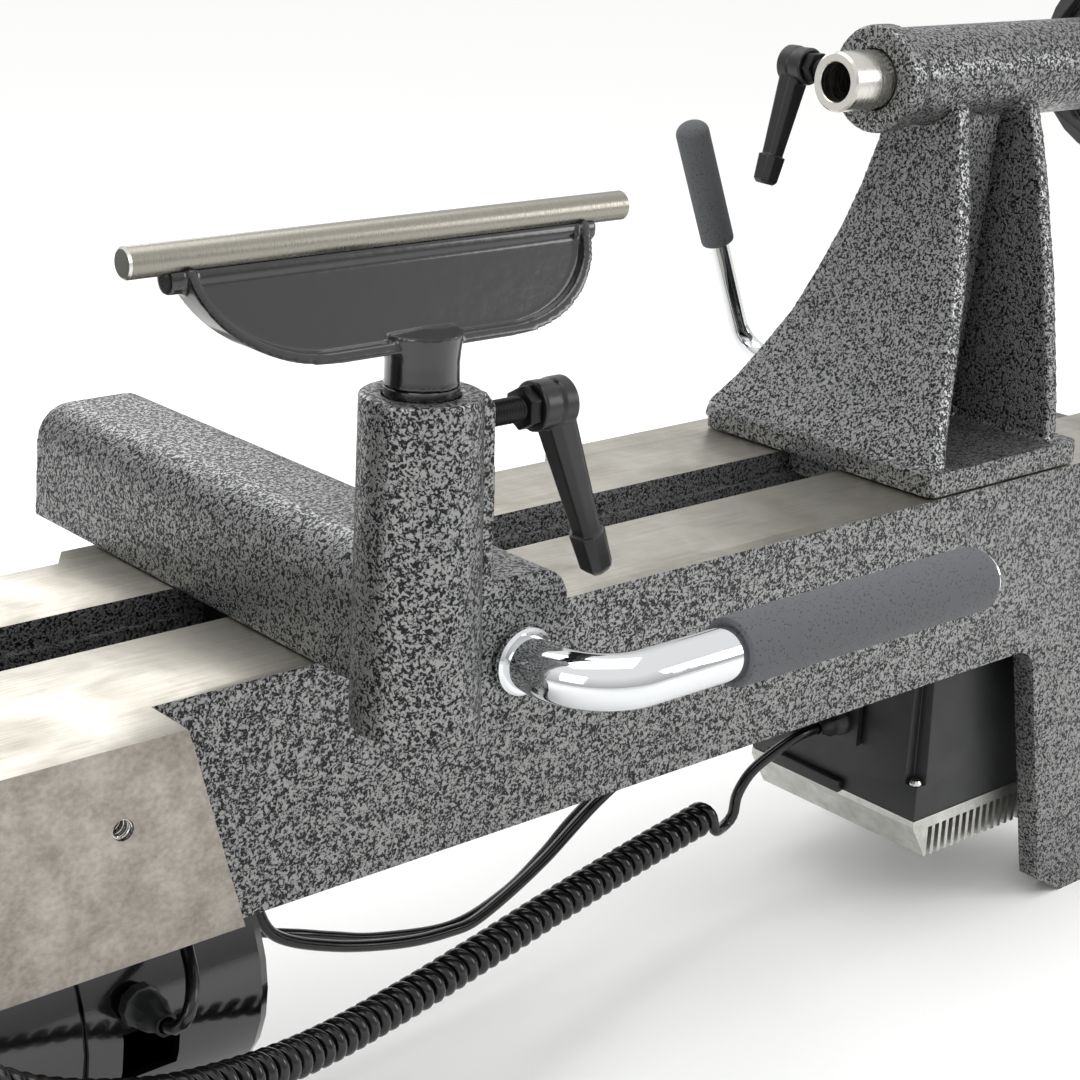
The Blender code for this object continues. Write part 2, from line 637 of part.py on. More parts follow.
def make_banjo():
    section = rounded([
        (ARM_LEFT, GAP, 0), (ARM_RIGHT, GAP, 0),
        (ARM_RIGHT - 0.003, ARM_TOP, 0.013), (ARM_LEFT + 0.003, ARM_TOP, 0.015),
    ], 5)
    arm = prism([section], "Y", ARM_FRONT, ARM_BACK)
    post = turned([
        (0, POST_TOP), (0.0198, POST_TOP), (0.0203, POST_TOP - 0.0006), (0.0222, 0.001), (0.0217, GAP), (0, GAP),
    ], "Z", (POST_X, POST_Y, 0), 32)
    rib_outline = [
        Vector((POST_X + 0.005, 0.020)), Vector((POST_X + 0.0290, 0.020)), Vector((POST_X + 0.0265, 0.050)),
        Vector((POST_X + 0.0255, 0.108)), Vector((POST_X + 0.0215, 0.113)), Vector((POST_X + 0.005, 0.113)),
    ]
    rib = prism([rib_outline], "Y", POST_Y - 0.0075, POST_Y + 0.0075)
    banjo = join(arm, post, rib)
    banjo = cut(
        banjo,
        rod("Z", (POST_X, POST_Y, 0), STEM_RADIUS + GAP, -0.01, POST_TOP + 0.01, 32),
        rod("Y", (CAM_X, 0, CAM_Z), CAM_RADIUS + GAP, ARM_FRONT - 0.02, ARM_BACK - 0.012),
        block((-0.322, -0.012, -0.01), (-0.285, 0.188, 0.034)),
        rod("X", (0, POST_Y, LOCK_Z), 0.0048, POST_X + 0.010, POST_X + 0.04, 12),
    )
    piece(banjo, "banjo_casting", "banjo", "hammered_paint")

    eye = ring("Y", (CAM_X, 0, CAM_Z), CAM_RADIUS + 2 * GAP, 0.0140, SLOT_Y - 0.008, SLOT_Y + 0.008, 24)
    stalk = rod("Z", (CAM_X, SLOT_Y, 0), 0.0060, -0.050, 0.0045, SMALL_FACETS)
    piece(join(eye, stalk), "banjo_clamp_bolt", "banjo_swivel", "black_oxide")
    slot_hole = rod("Z", (CAM_X, SLOT_Y, 0), 0.0063, -0.06, 0.0, SMALL_FACETS)
    plate = join(
        block((CAM_X - 0.030, SLOT_Y - 0.034, -0.034), (CAM_X + 0.030, SLOT_Y + 0.034, LIP_BOTTOM - GAP)),
        block((CAM_X - 0.025, SLOT_Y - 0.0150, -0.034), (CAM_X + 0.025, SLOT_Y + 0.0150, -0.0015)),
    )
    piece(cut(plate, slot_hole), "banjo_clamp_plate", "banjo_saddle", "black_oxide")
    nut = prism([circle(CAM_X, SLOT_Y, 0.0115, 6), circle(CAM_X, SLOT_Y, 0.0063, SMALL_FACETS)], "Z", -0.045, -0.0343)
    piece(nut, "banjo_clamp_nut", "banjo_swivel", "black_oxide")

    path = bent_path([
        (CAM_X, ARM_BACK - 0.014, CAM_Z), (CAM_X, HANDLE_Y, CAM_Z), (-0.101, HANDLE_Y, CAM_Z),
    ], 0.024)
    handle = as_mesh(tube_curve(path, CAM_RADIUS, 6))
    collar = ring("Y", (CAM_X, 0, CAM_Z), 0.008, 0.0120, ARM_FRONT - GAP, ARM_FRONT - 0.004)
    piece(join(handle, collar), "banjo_cam_rod", "banjo_cam", "chrome")
    grip_left, grip_right = -0.2390, -0.0985
    grip = turned([
        (0, grip_right), (0.0070, grip_right), (0.0108, grip_right - 0.002), (0.0128, grip_right - 0.007),
        (0.0128, grip_left + 0.001), (0.0122, grip_left), (CAM_RADIUS + GAP, grip_left),
        (CAM_RADIUS + GAP, -0.1005), (0, -0.1005),
    ], "X", (0, HANDLE_Y, CAM_Z))
    piece(grip, "banjo_grip", "banjo_cam", "grey_foam")


def ratchet_lever(name, carrier, lever_body, hub, out_axis, sign, reach, arm_end):
    """A ratchet clamping lever: a threaded stud with a hexagon, and a hub with a cranked arm that turns it."""
    index = "XYZ".index(out_axis)
    base = Vector(hub)
    stud_start = base[index] - sign * reach
    hub_start = base[index] - sign * 0.0050
    hub_end = base[index] + sign * 0.0105
    stud = turned(
        [(0, stud_start), (0.0040, stud_start), (0.0045, stud_start + sign * 0.002), (0.0045, hub_start - sign * 0.0035),
         (0.0025, hub_start - sign * 0.0035), (0.0025, hub_end + sign * 0.0035), (0, hub_end + sign * 0.0035)],
        out_axis, base, SMALL_FACETS)
    across = [circle(*[c for i, c in enumerate(base) if i != index], 0.0075, 6)]
    hexagon = prism(across, out_axis, base[index] - sign * 0.0100, hub_start - sign * GAP)
    piece(join(stud, hexagon), name + "_stud", carrier, "black_oxide")
    hub_body = turned(
        [(0, hub_start), (0.0076, hub_start), (0.0084, hub_start + sign * 0.0015), (0.0084, hub_end - sign * 0.004),
         (0.0070, hub_end - sign * 0.001), (0.0054, hub_end), (0, hub_end)],
        out_axis, base, 20)
    end = Vector(arm_end)
    root = base + sign * Vector([0.004 if i == index else 0 for i in range(3)])
    run = (end - root).normalized()
    side = run.cross(Vector([1 if i == index else 0 for i in range(3)])).normalized()
    face = side.cross(run)
    sections = []
    length = (end - root).length
    for part, width, depth in ((0.0, 0.0070, 0.0060), (0.76, 0.0048, 0.0042), (0.762, 0.0062, 0.0054),
                               (0.97, 0.0056, 0.0048), (1.0, 0.0040, 0.0034)):
        spot = root + run * length * part
        shape = [(-1, -0.5), (-0.6, -1), (0.6, -1), (1, -0.5), (1, 0.5), (0.6, 1), (-0.6, 1), (-1, 0.5)]
        sections.append([spot + side * width * a + face * depth * b for a, b in shape])
    lever = join(hub_body, loft(sections))
    low, high = sorted((base[index] - sign * 0.02, base[index] + sign * 0.03))
    lever = cut(lever, rod(out_axis, base, 0.0028, low, high, 12))
    piece(lever, name + "_lever", lever_body, "black_plastic")


def make_tool_rest():
    post_axis = (POST_X, POST_Y, 0)
    lean = (REST_BAR_Y - POST_Y) / (0.157 - 0.126)
    steps = 7
    quarter = [math.pi / 2 * step / steps for step in range(steps + 1)]

    def hull(half_flat, corner_u, corner_v, top):
        right = [Vector((POST_X + half_flat + corner_u * math.sin(a), top - corner_v * math.cos(a))) for a in quarter]
        left = [Vector((2 * POST_X - p.x, p.y)) for p in reversed(right)]
        return right + left

    outer = prism([hull(0.035, 0.044, 0.0305, 0.160)], "Y", POST_Y - 0.0075, POST_Y + 0.0075)
    front_recess = prism([hull(0.032, 0.041, 0.0275, 0.162)], "Y", POST_Y - 0.02, POST_Y - 0.0030)
    back_recess = prism([hull(0.032, 0.041, 0.0275, 0.162)], "Y", POST_Y + 0.0030, POST_Y + 0.02)
    web = shear_back(cut(outer, front_recess, back_recess), 0.126, lean)
    web = cut(web, block((-0.6, -0.2, 0.1572), (0, 0.2, 0.2)))
    rail = prism([rounded([
        (REST_BAR_Y - 0.0065, 0.1530, 0.001), (REST_BAR_Y + 0.0065, 0.1530, 0.001),
        (REST_BAR_Y + 0.0055, 0.1590, 0), (REST_BAR_Y - 0.0055, 0.1590, 0)], 2)], "X", -0.425, -0.257)
    neck = turned([
        (0, 0.1335), (0.0140, 0.1335), (0.0120, 0.1270), (0.0120, 0.1190), (0.0128, 0.1170), (0, 0.1170),
    ], "Z", post_axis, 24)
    head = join(web, rail, neck)
    half = REST_BAR_LENGTH / 2
    head = cut(head, rod("X", (0, REST_BAR_Y, REST_BAR_Z), REST_BAR_RADIUS + GAP, -0.6, 0, 24),
               block((POST_X - 0.03, POST_Y - 0.03, 0.10), (POST_X + 0.03, POST_Y + 0.03, 0.1172)))
    piece(head, "tool_rest_casting", "tool_rest", "black_enamel")
    bar = rod("X", (0, REST_BAR_Y, REST_BAR_Z), REST_BAR_RADIUS, POST_X + 0.0005 - half, POST_X + 0.0005 + half, 20, 0.0006)
    piece(bar, "tool_rest_bar", "tool_rest", "satin_steel")
    stem = rod("Z", post_axis, STEM_RADIUS, 0.012, 0.1169, 24, 0.001)
    piece(stem, "tool_rest_stem", "rest_stem", "bright_steel")


# ---------------------------------------------------------------------------------------------------------------
# Tailstock
# ---------------------------------------------------------------------------------------------------------------


def make_tailstock():
    barrel_axis = (0, SLOT_Y, CENTRE_HEIGHT)
    base = prism([rounded([
        (0.0, 0.0005, 0.004), (TAIL_LENGTH, 0.0005, 0.004), (TAIL_LENGTH, 0.1465, 0.004), (0.0, 0.1465, 0.004)], 3)],
        "Z", GAP, 0.012)
    tenon = block((0.006, FRONT_WAY_WIDTH + 0.0006, -0.0105), (0.102, REAR_WAY_START - 0.0006, 0.004))

    def plate(rows, thickness):
        sections = []
        for x, z, half in rows:
            sections.append([
                Vector((x, SLOT_Y - half, z)), Vector((x + thickness, SLOT_Y - half, z)),
                Vector((x + thickness, SLOT_Y + half, z)), Vector((x, SLOT_Y + half, z)),
            ])
        return loft(sections)

    left_plate = plate([
        (0.001, 0.006, 0.0725), (0.004, 0.014, 0.0715), (0.013, 0.026, 0.064), (0.022, 0.040, 0.0575),
        (0.034, 0.060, 0.0490), (0.043, 0.081, 0.0425), (0.051, 0.103, 0.0360), (0.056, 0.124, 0.0300),
        (0.059, 0.145, 0.0245), (0.060, 0.165, 0.0210)], 0.010)
    right_plate = plate([
        (0.0890, 0.006, 0.0710), (0.0910, 0.020, 0.0685), (0.0925, 0.031, 0.0663), (0.0953, 0.051, 0.0611),
        (0.0981, 0.070, 0.0560), (0.1009, 0.090, 0.0504), (0.1036, 0.109, 0.0438), (0.1060, 0.126, 0.0385),
        (0.1090, 0.148, 0.0303), (0.1115, 0.165, 0.0229)], 0.0075)
    web_left = [
        Vector((0.064, 0.165)), Vector((0.052, 0.100)), Vector((0.036, 0.060)), Vector((0.014, 0.024)),
        Vector((0.010, 0.006)),
    ]
    rib = prism([[Vector((0.0875, 0.006)), Vector((0.1028, 0.165)), *web_left]], "Y", SLOT_Y - 0.0135, SLOT_Y + 0.0135)
    web = prism([[Vector((0.0920, 0.006)), Vector((0.1150, 0.165)), *web_left]], "Y", SLOT_Y - 0.0050, SLOT_Y + 0.0050)
    barrel = turned([
        (0, BARREL_RIGHT), (BARREL_RADIUS - 0.002, BARREL_RIGHT), (BARREL_RADIUS, BARREL_RIGHT - 0.002),
        (BARREL_RADIUS, BARREL_LEFT + 0.014), (FLANGE_RADIUS, BARREL_LEFT + 0.011),
        (FLANGE_RADIUS, BARREL_LEFT + 0.001), (FLANGE_RADIUS - 0.001, BARREL_LEFT), (0, BARREL_LEFT),
    ], "X", barrel_axis, 32)
    cam_boss = rod("Y", (TAIL_CAM_X, 0, TAIL_CAM_Z), 0.0130, SLOT_Y + 0.010, 0.1460)
    lock_boss = rod("Y", (QUILL_LOCK_X, 0, CENTRE_HEIGHT), 0.0080, SLOT_Y + 0.015, SLOT_Y + 0.0275, 20)
    tail = join(base, tenon, left_plate, right_plate, rib, web, barrel, cam_boss, lock_boss)
    tail = cut(
        tail,
        rod("X", barrel_axis, QUILL_RADIUS + GAP, BARREL_LEFT - 0.01, BARREL_RIGHT - 0.014, 32),
        rod("X", barrel_axis, 0.0072, BARREL_RIGHT - 0.02, BARREL_RIGHT + 0.01, SMALL_FACETS),
        rod("Y", (TAIL_CAM_X, 0, TAIL_CAM_Z), 0.0083, SLOT_Y - 0.011, 0.1560, 20),
        block((TAIL_CAM_X - 0.014, SLOT_Y - 0.0085, -0.02), (TAIL_CAM_X + 0.014, SLOT_Y + 0.0085, 0.0380)),
        rod("Y", (QUILL_LOCK_X, 0, CENTRE_HEIGHT), 0.0049, SLOT_Y + 0.010, SLOT_Y + 0.04, 12),
    )
    piece(tail, "tailstock_casting", "tailstock", "hammered_paint")

    eye = ring("Y", (TAIL_CAM_X, 0, TAIL_CAM_Z), 0.0080 + 2 * GAP, 0.0120, SLOT_Y - 0.0065, SLOT_Y + 0.0065, 24)
    stalk = rod("Z", (TAIL_CAM_X, SLOT_Y, 0), 0.0055, -0.050, TAIL_CAM_Z - 0.0100, SMALL_FACETS)
    piece(join(eye, stalk), "tailstock_clamp_bolt", "tailstock", "black_oxide")
    plate_block = block((TAIL_CAM_X - 0.032, SLOT_Y - 0.034, -0.034), (TAIL_CAM_X + 0.032, SLOT_Y + 0.034, LIP_BOTTOM - GAP))
    clamp_plate = cut(plate_block, rod("Z", (TAIL_CAM_X, SLOT_Y, 0), 0.0058, -0.06, 0, SMALL_FACETS))
    piece(clamp_plate, "tailstock_clamp_plate", "tailstock", "black_oxide")
    nut = prism([circle(TAIL_CAM_X, SLOT_Y, 0.0110, 6), circle(TAIL_CAM_X, SLOT_Y, 0.0058)], "Z", -0.045, -0.0343)
    piece(nut, "tailstock_clamp_nut", "tailstock", "black_oxide")

    lean = math.radians(22)
    up = Vector((-math.sin(lean), 0, math.cos(lean)))
    start = Vector((TAIL_CAM_X, SLOT_Y - 0.0095, TAIL_CAM_Z))
    corner = Vector((TAIL_CAM_X, 0.182, TAIL_CAM_Z))
    shaft = rod("Y", corner, 0.0080, start.y, 0.1620, 20)
    handle = as_mesh(tube_curve(bent_path([(corner.x, 0.150, corner.z), corner, along(corner, up, 0.128)], 0.016), 0.0052, 3))
    piece(join(shaft, handle), "tailstock_cam_rod", "tail_cam", "chrome")
    grip = turned([
        (0, 0.1310), (0.0050, 0.1310), (0.0078, 0.1280), (0.0084, 0.1240), (0.0084, 0.0645), (0.0080, 0.0640),
        (0.0052 + GAP, 0.0640), (0.0052 + GAP, 0.1285), (0, 0.1285),
    ], "Z", (0, 0, 0), 20)
    grip.data.transform(Matrix.Translation(corner) @ Matrix.Rotation(-lean, 4, "Y"))
    piece(grip, "tailstock_grip", "tail_cam", "grey_foam")


def make_quill():
    axis = (0, SLOT_Y, CENTRE_HEIGHT)
    quill = turned([
        (0.00889, QUILL_TIP), (QUILL_RADIUS - 0.0008, QUILL_TIP), (QUILL_RADIUS, QUILL_TIP + 0.0008),
        (QUILL_RADIUS, 0.1700), (0.0068, 0.1700), (0.0068, 0.1500), (0.0073, 0.1480), (0.0073, 0.0620),
    ], "X", axis, 32)
    keyway = block((0.016, SLOT_Y - 0.0020, CENTRE_HEIGHT - QUILL_RADIUS - 0.001),
                   (0.160, SLOT_Y + 0.0020, CENTRE_HEIGHT - QUILL_RADIUS + 0.002))
    piece(cut(quill, keyway), "quill", "quill", "bright_steel")
    screw = turned([
        (0, 0.0640), (0.0055, 0.0640), (0.0065, 0.0650), (0.0065, BARREL_RIGHT - 0.0145),
        (0.0100, BARREL_RIGHT - 0.0145 - GAP), (0.0100, BARREL_RIGHT - 0.0145), (0.0066, BARREL_RIGHT - 0.0144),
        (0.0066, 0.2330), (0, 0.2330),
    ], "X", axis, SMALL_FACETS)
    piece(screw, "quill_leadscrew", "tail_wheel", "bright_steel")
    wheel = turned([
        (0.0066 + GAP, 0.2085), (0.0170, 0.2085), (0.0180, 0.2150), (0.0400, 0.2190), (0.0420, 0.2150),
        (0.0500, 0.2150), (0.0530, 0.2200), (0.0530, 0.2270), (0.0500, 0.2320), (0.0430, 0.2320),
        (0.0400, 0.2260), (0.0170, 0.2230), (0.0150, 0.2300), (0.0066 + GAP, 0.2300),
    ], "X", axis, 28)
    crank_hole = rod("X", (0, SLOT_Y, CENTRE_HEIGHT + 0.0465), 0.0033, 0.20, 0.25, 12)
    piece(cut(wheel, crank_hole), "tailstock_handwheel", "tail_wheel", "black_enamel")
    crank_axis = (0, SLOT_Y, CENTRE_HEIGHT + 0.0465)
    pin = turned([
        (0, 0.2160), (0.0030, 0.2160), (0.0030, 0.2790), (0.0046, 0.2795), (0.0046, 0.2815), (0, 0.2815),
    ], "X", crank_axis, 12)
    piece(pin, "crank_pin", "tail_wheel", "bright_steel")
    knob = turned([
        (0.0033, 0.2325), (0.0060, 0.2325), (0.0075, 0.2370), (0.0100, 0.2560), (0.0095, 0.2700),
        (0.0070, 0.2770), (0.0033, 0.2785),
    ], "X", crank_axis, 20)
    piece(knob, "crank_handle", "crank_handle", "black_plastic")


# ---------------------------------------------------------------------------------------------------------------
# Control box, remote control and cables
# ---------------------------------------------------------------------------------------------------------------

MOTOR_GLAND = Vector((-0.402, 0.0186, -0.123))
BOX_GLANDS = {"motor": (0.094, -0.122), "brake": (0.112, -0.126), "remote": (0.070, -0.140)}


def make_control_box():
    draft = 0.002
    low = [Vector((x, y, SINK_TOP + GAP)) for x, y in (
        (BOX_LEFT, BOX_FRONT), (BOX_RIGHT, BOX_FRONT), (BOX_RIGHT, BOX_BACK), (BOX_LEFT, BOX_BACK))]
    high = [Vector((x, y, BOX_TOP)) for x, y in (
        (BOX_LEFT + draft, BOX_FRONT + draft), (BOX_RIGHT - draft, BOX_FRONT + draft),
        (BOX_RIGHT - draft, BOX_BACK - draft), (BOX_LEFT + draft, BOX_BACK - draft))]
    hollow = block(
        (BOX_LEFT + 0.011, BOX_FRONT + 0.012, SINK_TOP - 0.01), (BOX_RIGHT - 0.011, BOX_BACK - 0.012, BOX_TOP - 0.008))
    corner = block((BOX_LEFT - 0.01, BOX_FRONT - 0.01, -0.160), (BOX_LEFT + 0.0075, BOX_FRONT + 0.0085, BOX_TOP + 0.01))
    slots = [
        block((BOX_LEFT - 0.01, y, -0.160), (BOX_LEFT + 0.02, y + 0.004, -0.152)) for y in (0.100, 0.108, 0.116)
    ]
    piece(cut(loft([low, high]), hollow, corner, *slots), "inverter_housing", "bed", "black_plastic")
    middle = (BOX_LEFT + BOX_RIGHT) / 2
    half, foot, spaces = (BOX_RIGHT - BOX_LEFT) / 2, (BOX_RIGHT - BOX_LEFT) / 2 - SINK_SLOPE, 19
    comb = [Vector((middle - half, SINK_TOP - 0.0035)), Vector((middle - foot, SINK_BOTTOM))]
    pitch = 2 * foot / spaces
    for step in range(spaces):
        left = middle - foot + step * pitch
        comb += [
            Vector((left + FIN_THICKNESS, SINK_BOTTOM)), Vector((left + FIN_THICKNESS, SINK_TOP - 0.006)),
            Vector((left + pitch - FIN_THICKNESS, SINK_TOP - 0.006)), Vector((left + pitch - FIN_THICKNESS, SINK_BOTTOM)),
        ]
    comb += [Vector((middle + foot, SINK_BOTTOM)), Vector((middle + half, SINK_TOP - 0.0035))]
    comb += [Vector((middle + half, SINK_TOP)), Vector((middle - half, SINK_TOP))]
    piece(prism([comb], "Y", BOX_FRONT, BOX_BACK), "inverter_heat_sink", "bed", "aluminium")
    plate = block(
        (0.052, WALL_THICKNESS + GAP, WALL_BOTTOM - 0.0060),
        (0.156, BED_WIDTH - WALL_THICKNESS - GAP, WALL_BOTTOM + 0.0007))
    piece(plate, "inverter_bracket", "bed", "black_oxide")
    face = BOX_LEFT - GAP
    gland_plate = block((face - 0.0030, 0.058, -0.150), (face, 0.123, -0.113))
    glands = [
        gland((face - 0.0020, y, z), "X", -1, 0.0028 if name == "brake" else 0.0034)
        for name, (y, z) in BOX_GLANDS.items()
    ]
    holes = [rod("X", (0, y, z), 0.0030, face - 0.01, face + 0.01, 12) for y, z in BOX_GLANDS.values()]
    piece(join(cut(gland_plate, *holes), *glands), "cable_gland_plate", "bed", "black_plastic")
    inlet = join(
        block((BOX_RIGHT + GAP, 0.060, -0.172), (BOX_RIGHT + 0.006, 0.092, -0.144)),
        block((BOX_RIGHT + 0.004, 0.064, -0.169), (BOX_RIGHT + 0.014, 0.088, -0.147)),
    )
    inlet = cut(inlet, block((BOX_RIGHT + 0.005, 0.066, -0.167), (BOX_RIGHT + 0.02, 0.086, -0.149)))
    piece(inlet, "mains_inlet", "bed", "black_plastic")
    piece(gland(MOTOR_GLAND, "Y", -1, 0.0034, 1.1), "motor_cable_gland", "bed", "black_plastic")


def make_remote():
    back = HEAD_FRONT - GAP
    front = back - 0.030
    body_outline = rounded([
        (REMOTE_X - 0.031, REMOTE_BOTTOM, 0.008), (REMOTE_X + 0.031, REMOTE_BOTTOM, 0.008),
        (REMOTE_X + 0.031, REMOTE_TOP, 0.008), (REMOTE_X - 0.031, REMOTE_TOP, 0.008)])
    housing = prism([body_outline], "Y", front, back)
    housing = cut(
        housing,
        block((REMOTE_X - 0.022, front - 0.01, 0.119), (REMOTE_X + 0.022, front + 0.0022, 0.133)),
        rod("Y", (REMOTE_X, 0, 0.060), 0.0036, front - 0.01, front + 0.012, 12),
        rod("Y", (REMOTE_X - 0.015, 0, 0.1035), 0.0083, front - 0.01, front + 0.008, SMALL_FACETS),
        rod("Y", (REMOTE_X + 0.015, 0, 0.1035), 0.0083, front - 0.01, front + 0.008, SMALL_FACETS),
        block((REMOTE_X - 0.0105, front - 0.01, 0.0780), (REMOTE_X + 0.0105, front + 0.009, 0.0900)),
    )
    piece(housing, "remote_housing", "bed", "black_plastic")
    window = block((REMOTE_X - 0.0217, front + 0.0003, 0.1193), (REMOTE_X + 0.0217, front + 0.0019, 0.1327))
    piece(window, "remote_display", "bed", "display_window")
    knob = turned([
        (0, front - 0.0150), (0.0090, front - 0.0150), (0.0100, front - 0.0140), (0.0115, front - GAP),
        (0.0033, front - GAP), (0.0033, front + 0.0100), (0, front + 0.0100),
    ], "Y", (REMOTE_X, 0, 0.060), 24)
    pointer = block((REMOTE_X - 0.0006, front - 0.0154, 0.0625), (REMOTE_X + 0.0006, front - 0.0140, 0.0695))
    piece(join(knob, pointer), "speed_knob", "speed_knob", "black_plastic")
    for name, x, finish in (("start_button", -0.015, "green_plastic"), ("stop_button", 0.015, "red_plastic")):
        button = turned([
            (0, front - 0.0045), (0.0070, front - 0.0045), (0.0078, front - 0.0035), (0.0078, front + 0.0040),
            (0, front + 0.0040)], "Y", (REMOTE_X + x, 0, 0.1035), SMALL_FACETS)
        piece(button, name, name, finish)
    rocker = prism([[
        Vector((REMOTE_X - 0.0090, front + 0.0040)), Vector((REMOTE_X + 0.0090, front + 0.0040)),
        Vector((REMOTE_X + 0.0092, front - 0.0022)), Vector((REMOTE_X, front - 0.0010)),
        Vector((REMOTE_X - 0.0092, front - 0.0022))]], "Z", 0.0784, 0.0896)
    piece(rocker, "direction_rocker", "direction_rocker", "black_plastic")
    piece(gland((REMOTE_X, (front + back) / 2, REMOTE_BOTTOM - GAP), "Z", -1, 0.0031, 0.9), "remote_strain_relief", "bed", "black_pvc")


CABLES = {
    # name: (radius, read-out spacing, section resolution, knots)
    "motor_cable": (0.0026, 0.0120, 2, (
        (-0.4020, -0.0015, -0.1230), (-0.4005, -0.0065, -0.1215), (-0.3965, -0.0080, -0.1150), (-0.3910, -0.0010, -0.1075),
        (-0.3850, 0.0130, -0.1010), (-0.3770, 0.0270, -0.0940), (-0.3670, 0.0410, -0.0850), (-0.3550, 0.0550, -0.0785),
        (-0.3410, 0.0640, -0.0795), (-0.3300, 0.0700, -0.0915), (-0.3215, 0.0740, -0.1110), (-0.3140, 0.0770, -0.1320),
        (-0.3030, 0.0780, -0.1543), (-0.2720, 0.0800, -0.1708), (-0.2343, 0.0820, -0.1828), (-0.2060, 0.0838, -0.1875),
        (-0.1865, 0.0850, -0.1868), (-0.1499, 0.0870, -0.1722), (-0.1112, 0.0900, -0.1513), (-0.0700, 0.0920, -0.1350),
        (-0.0300, 0.0935, -0.1250), (0.0000, 0.0940, -0.1222), (0.0151, 0.0940, -0.1220),
    )),
    "brake_cable": (0.0022, 0.0115, 2, (
        (-0.3258, 0.1040, -0.1600), (-0.3150, 0.1035, -0.1605), (-0.3000, 0.1000, -0.1640), (-0.2772, 0.0965, -0.1707),
        (-0.2600, 0.0970, -0.1776), (-0.2342, 0.0980, -0.1870), (-0.1917, 0.1000, -0.1960), (-0.1588, 0.1020, -0.1906),
        (-0.1331, 0.1040, -0.1784), (-0.1119, 0.1060, -0.1655), (-0.0650, 0.1090, -0.1420), (-0.0300, 0.1112, -0.1300),
        (0.0000, 0.1120, -0.1263), (0.0151, 0.1120, -0.1260),
    )),
    "remote_coil": (0.0083, 0.0280, 3, (
        (-0.0548, 0.0760, -0.1709), (-0.1060, 0.0660, -0.1712), (-0.1698, 0.0520, -0.1716), (-0.2280, 0.0375, -0.1714),
        (-0.2792, 0.0230, -0.1688), (-0.3330, 0.0040, -0.1603), (-0.3816, -0.0140, -0.1465), (-0.4300, -0.0300, -0.1280),
        (-0.4800, -0.0420, -0.1010), (-0.5150, -0.0450, -0.0700), (-0.5350, -0.0430, -0.0420),
    )),
    "remote_lead_box_end": (0.00275, 0.0085, 2, (
        (-0.0526, 0.0762, -0.1712), (-0.0465, 0.0762, -0.1760), (-0.0395, 0.0762, -0.1800), (-0.0345, 0.0758, -0.1755),
        (-0.0330, 0.0752, -0.1650), (-0.0260, 0.0742, -0.1550), (-0.0140, 0.0728, -0.1480), (0.0020, 0.0707, -0.1415),
        (0.0151, 0.0700, -0.1400),
    )),
    "remote_lead_hand_end": (0.00275, 0.0085, 2, (
        (-0.5356, -0.0429, -0.0411), (-0.5440, -0.0415, -0.0280), (-0.5540, -0.0380, -0.0130),
        (-0.5640, -0.0315, 0.0005), (-0.5700, -0.0215, 0.0075), (-0.5738, -0.0105, 0.0095),
        (-0.5749, -0.0040, 0.0122), (REMOTE_X, -0.0010, 0.0172),
    )),
}


def make_cables():
    for name, (radius, spacing, resolution, knots) in CABLES.items():
        route = smooth_route([Vector(knot) for knot in knots], spacing)
        piece(tube_curve(route, radius, resolution), name, "bed", "black_pvc")


# ---------------------------------------------------------------------------------------------------------------
# Assembly
# ---------------------------------------------------------------------------------------------------------------


def make_bodies():
    body("bed")
    body("spindle", (HEAD_RIGHT, SLOT_Y, CENTRE_HEIGHT), "bed")
    body("motor_rotor", (MOTOR_LEFT, SLOT_Y, MOTOR_Z), "bed")
    body("belt_door", (-0.7290, 0.0085, 0.119), "bed")
    body("index_pin", (-0.628, HEAD_FRONT, CENTRE_HEIGHT), "bed")
    body("speed_knob", (REMOTE_X, -0.016, 0.060), "bed")
    body("start_button", (REMOTE_X - 0.015, -0.016, 0.1035), "bed")
    body("stop_button", (REMOTE_X + 0.015, -0.016, 0.1035), "bed")
    body("direction_rocker", (REMOTE_X, -0.012, 0.084), "bed")
    body("banjo_saddle", (CAM_X, SLOT_Y, 0), "bed")
    body("banjo_swivel", (CAM_X, SLOT_Y, 0), "banjo_saddle")
    body("banjo", (CAM_X, SLOT_Y, 0), "banjo_swivel")
    body("banjo_cam", (CAM_X, ARM_FRONT, CAM_Z), "banjo")
    body("post_lock", (POST_LOCK_X, POST_Y, LOCK_Z), "banjo")
    body("post_lock_hub", (POST_LOCK_X, POST_Y, LOCK_Z), "post_lock")
    body("rest_stem", (POST_X, POST_Y, POST_TOP), "banjo")
    body("tool_rest", (POST_X, POST_Y, POST_TOP), "rest_stem")
    body("tailstock", (0, SLOT_Y, 0), "bed")
    body("quill", (BARREL_LEFT, SLOT_Y, CENTRE_HEIGHT), "tailstock")
    body("tail_wheel", (BARREL_RIGHT, SLOT_Y, CENTRE_HEIGHT), "tailstock")
    body("crank_handle", (0.2325, SLOT_Y, CENTRE_HEIGHT + 0.0465), "tail_wheel")
    body("tail_cam", (TAIL_CAM_X, 0.146, TAIL_CAM_Z), "tailstock")
    body("quill_lock", (QUILL_LOCK_X, QUILL_LOCK_Y, CENTRE_HEIGHT), "tailstock")
    body("quill_lock_hub", (QUILL_LOCK_X, QUILL_LOCK_Y, CENTRE_HEIGHT), "quill_lock")


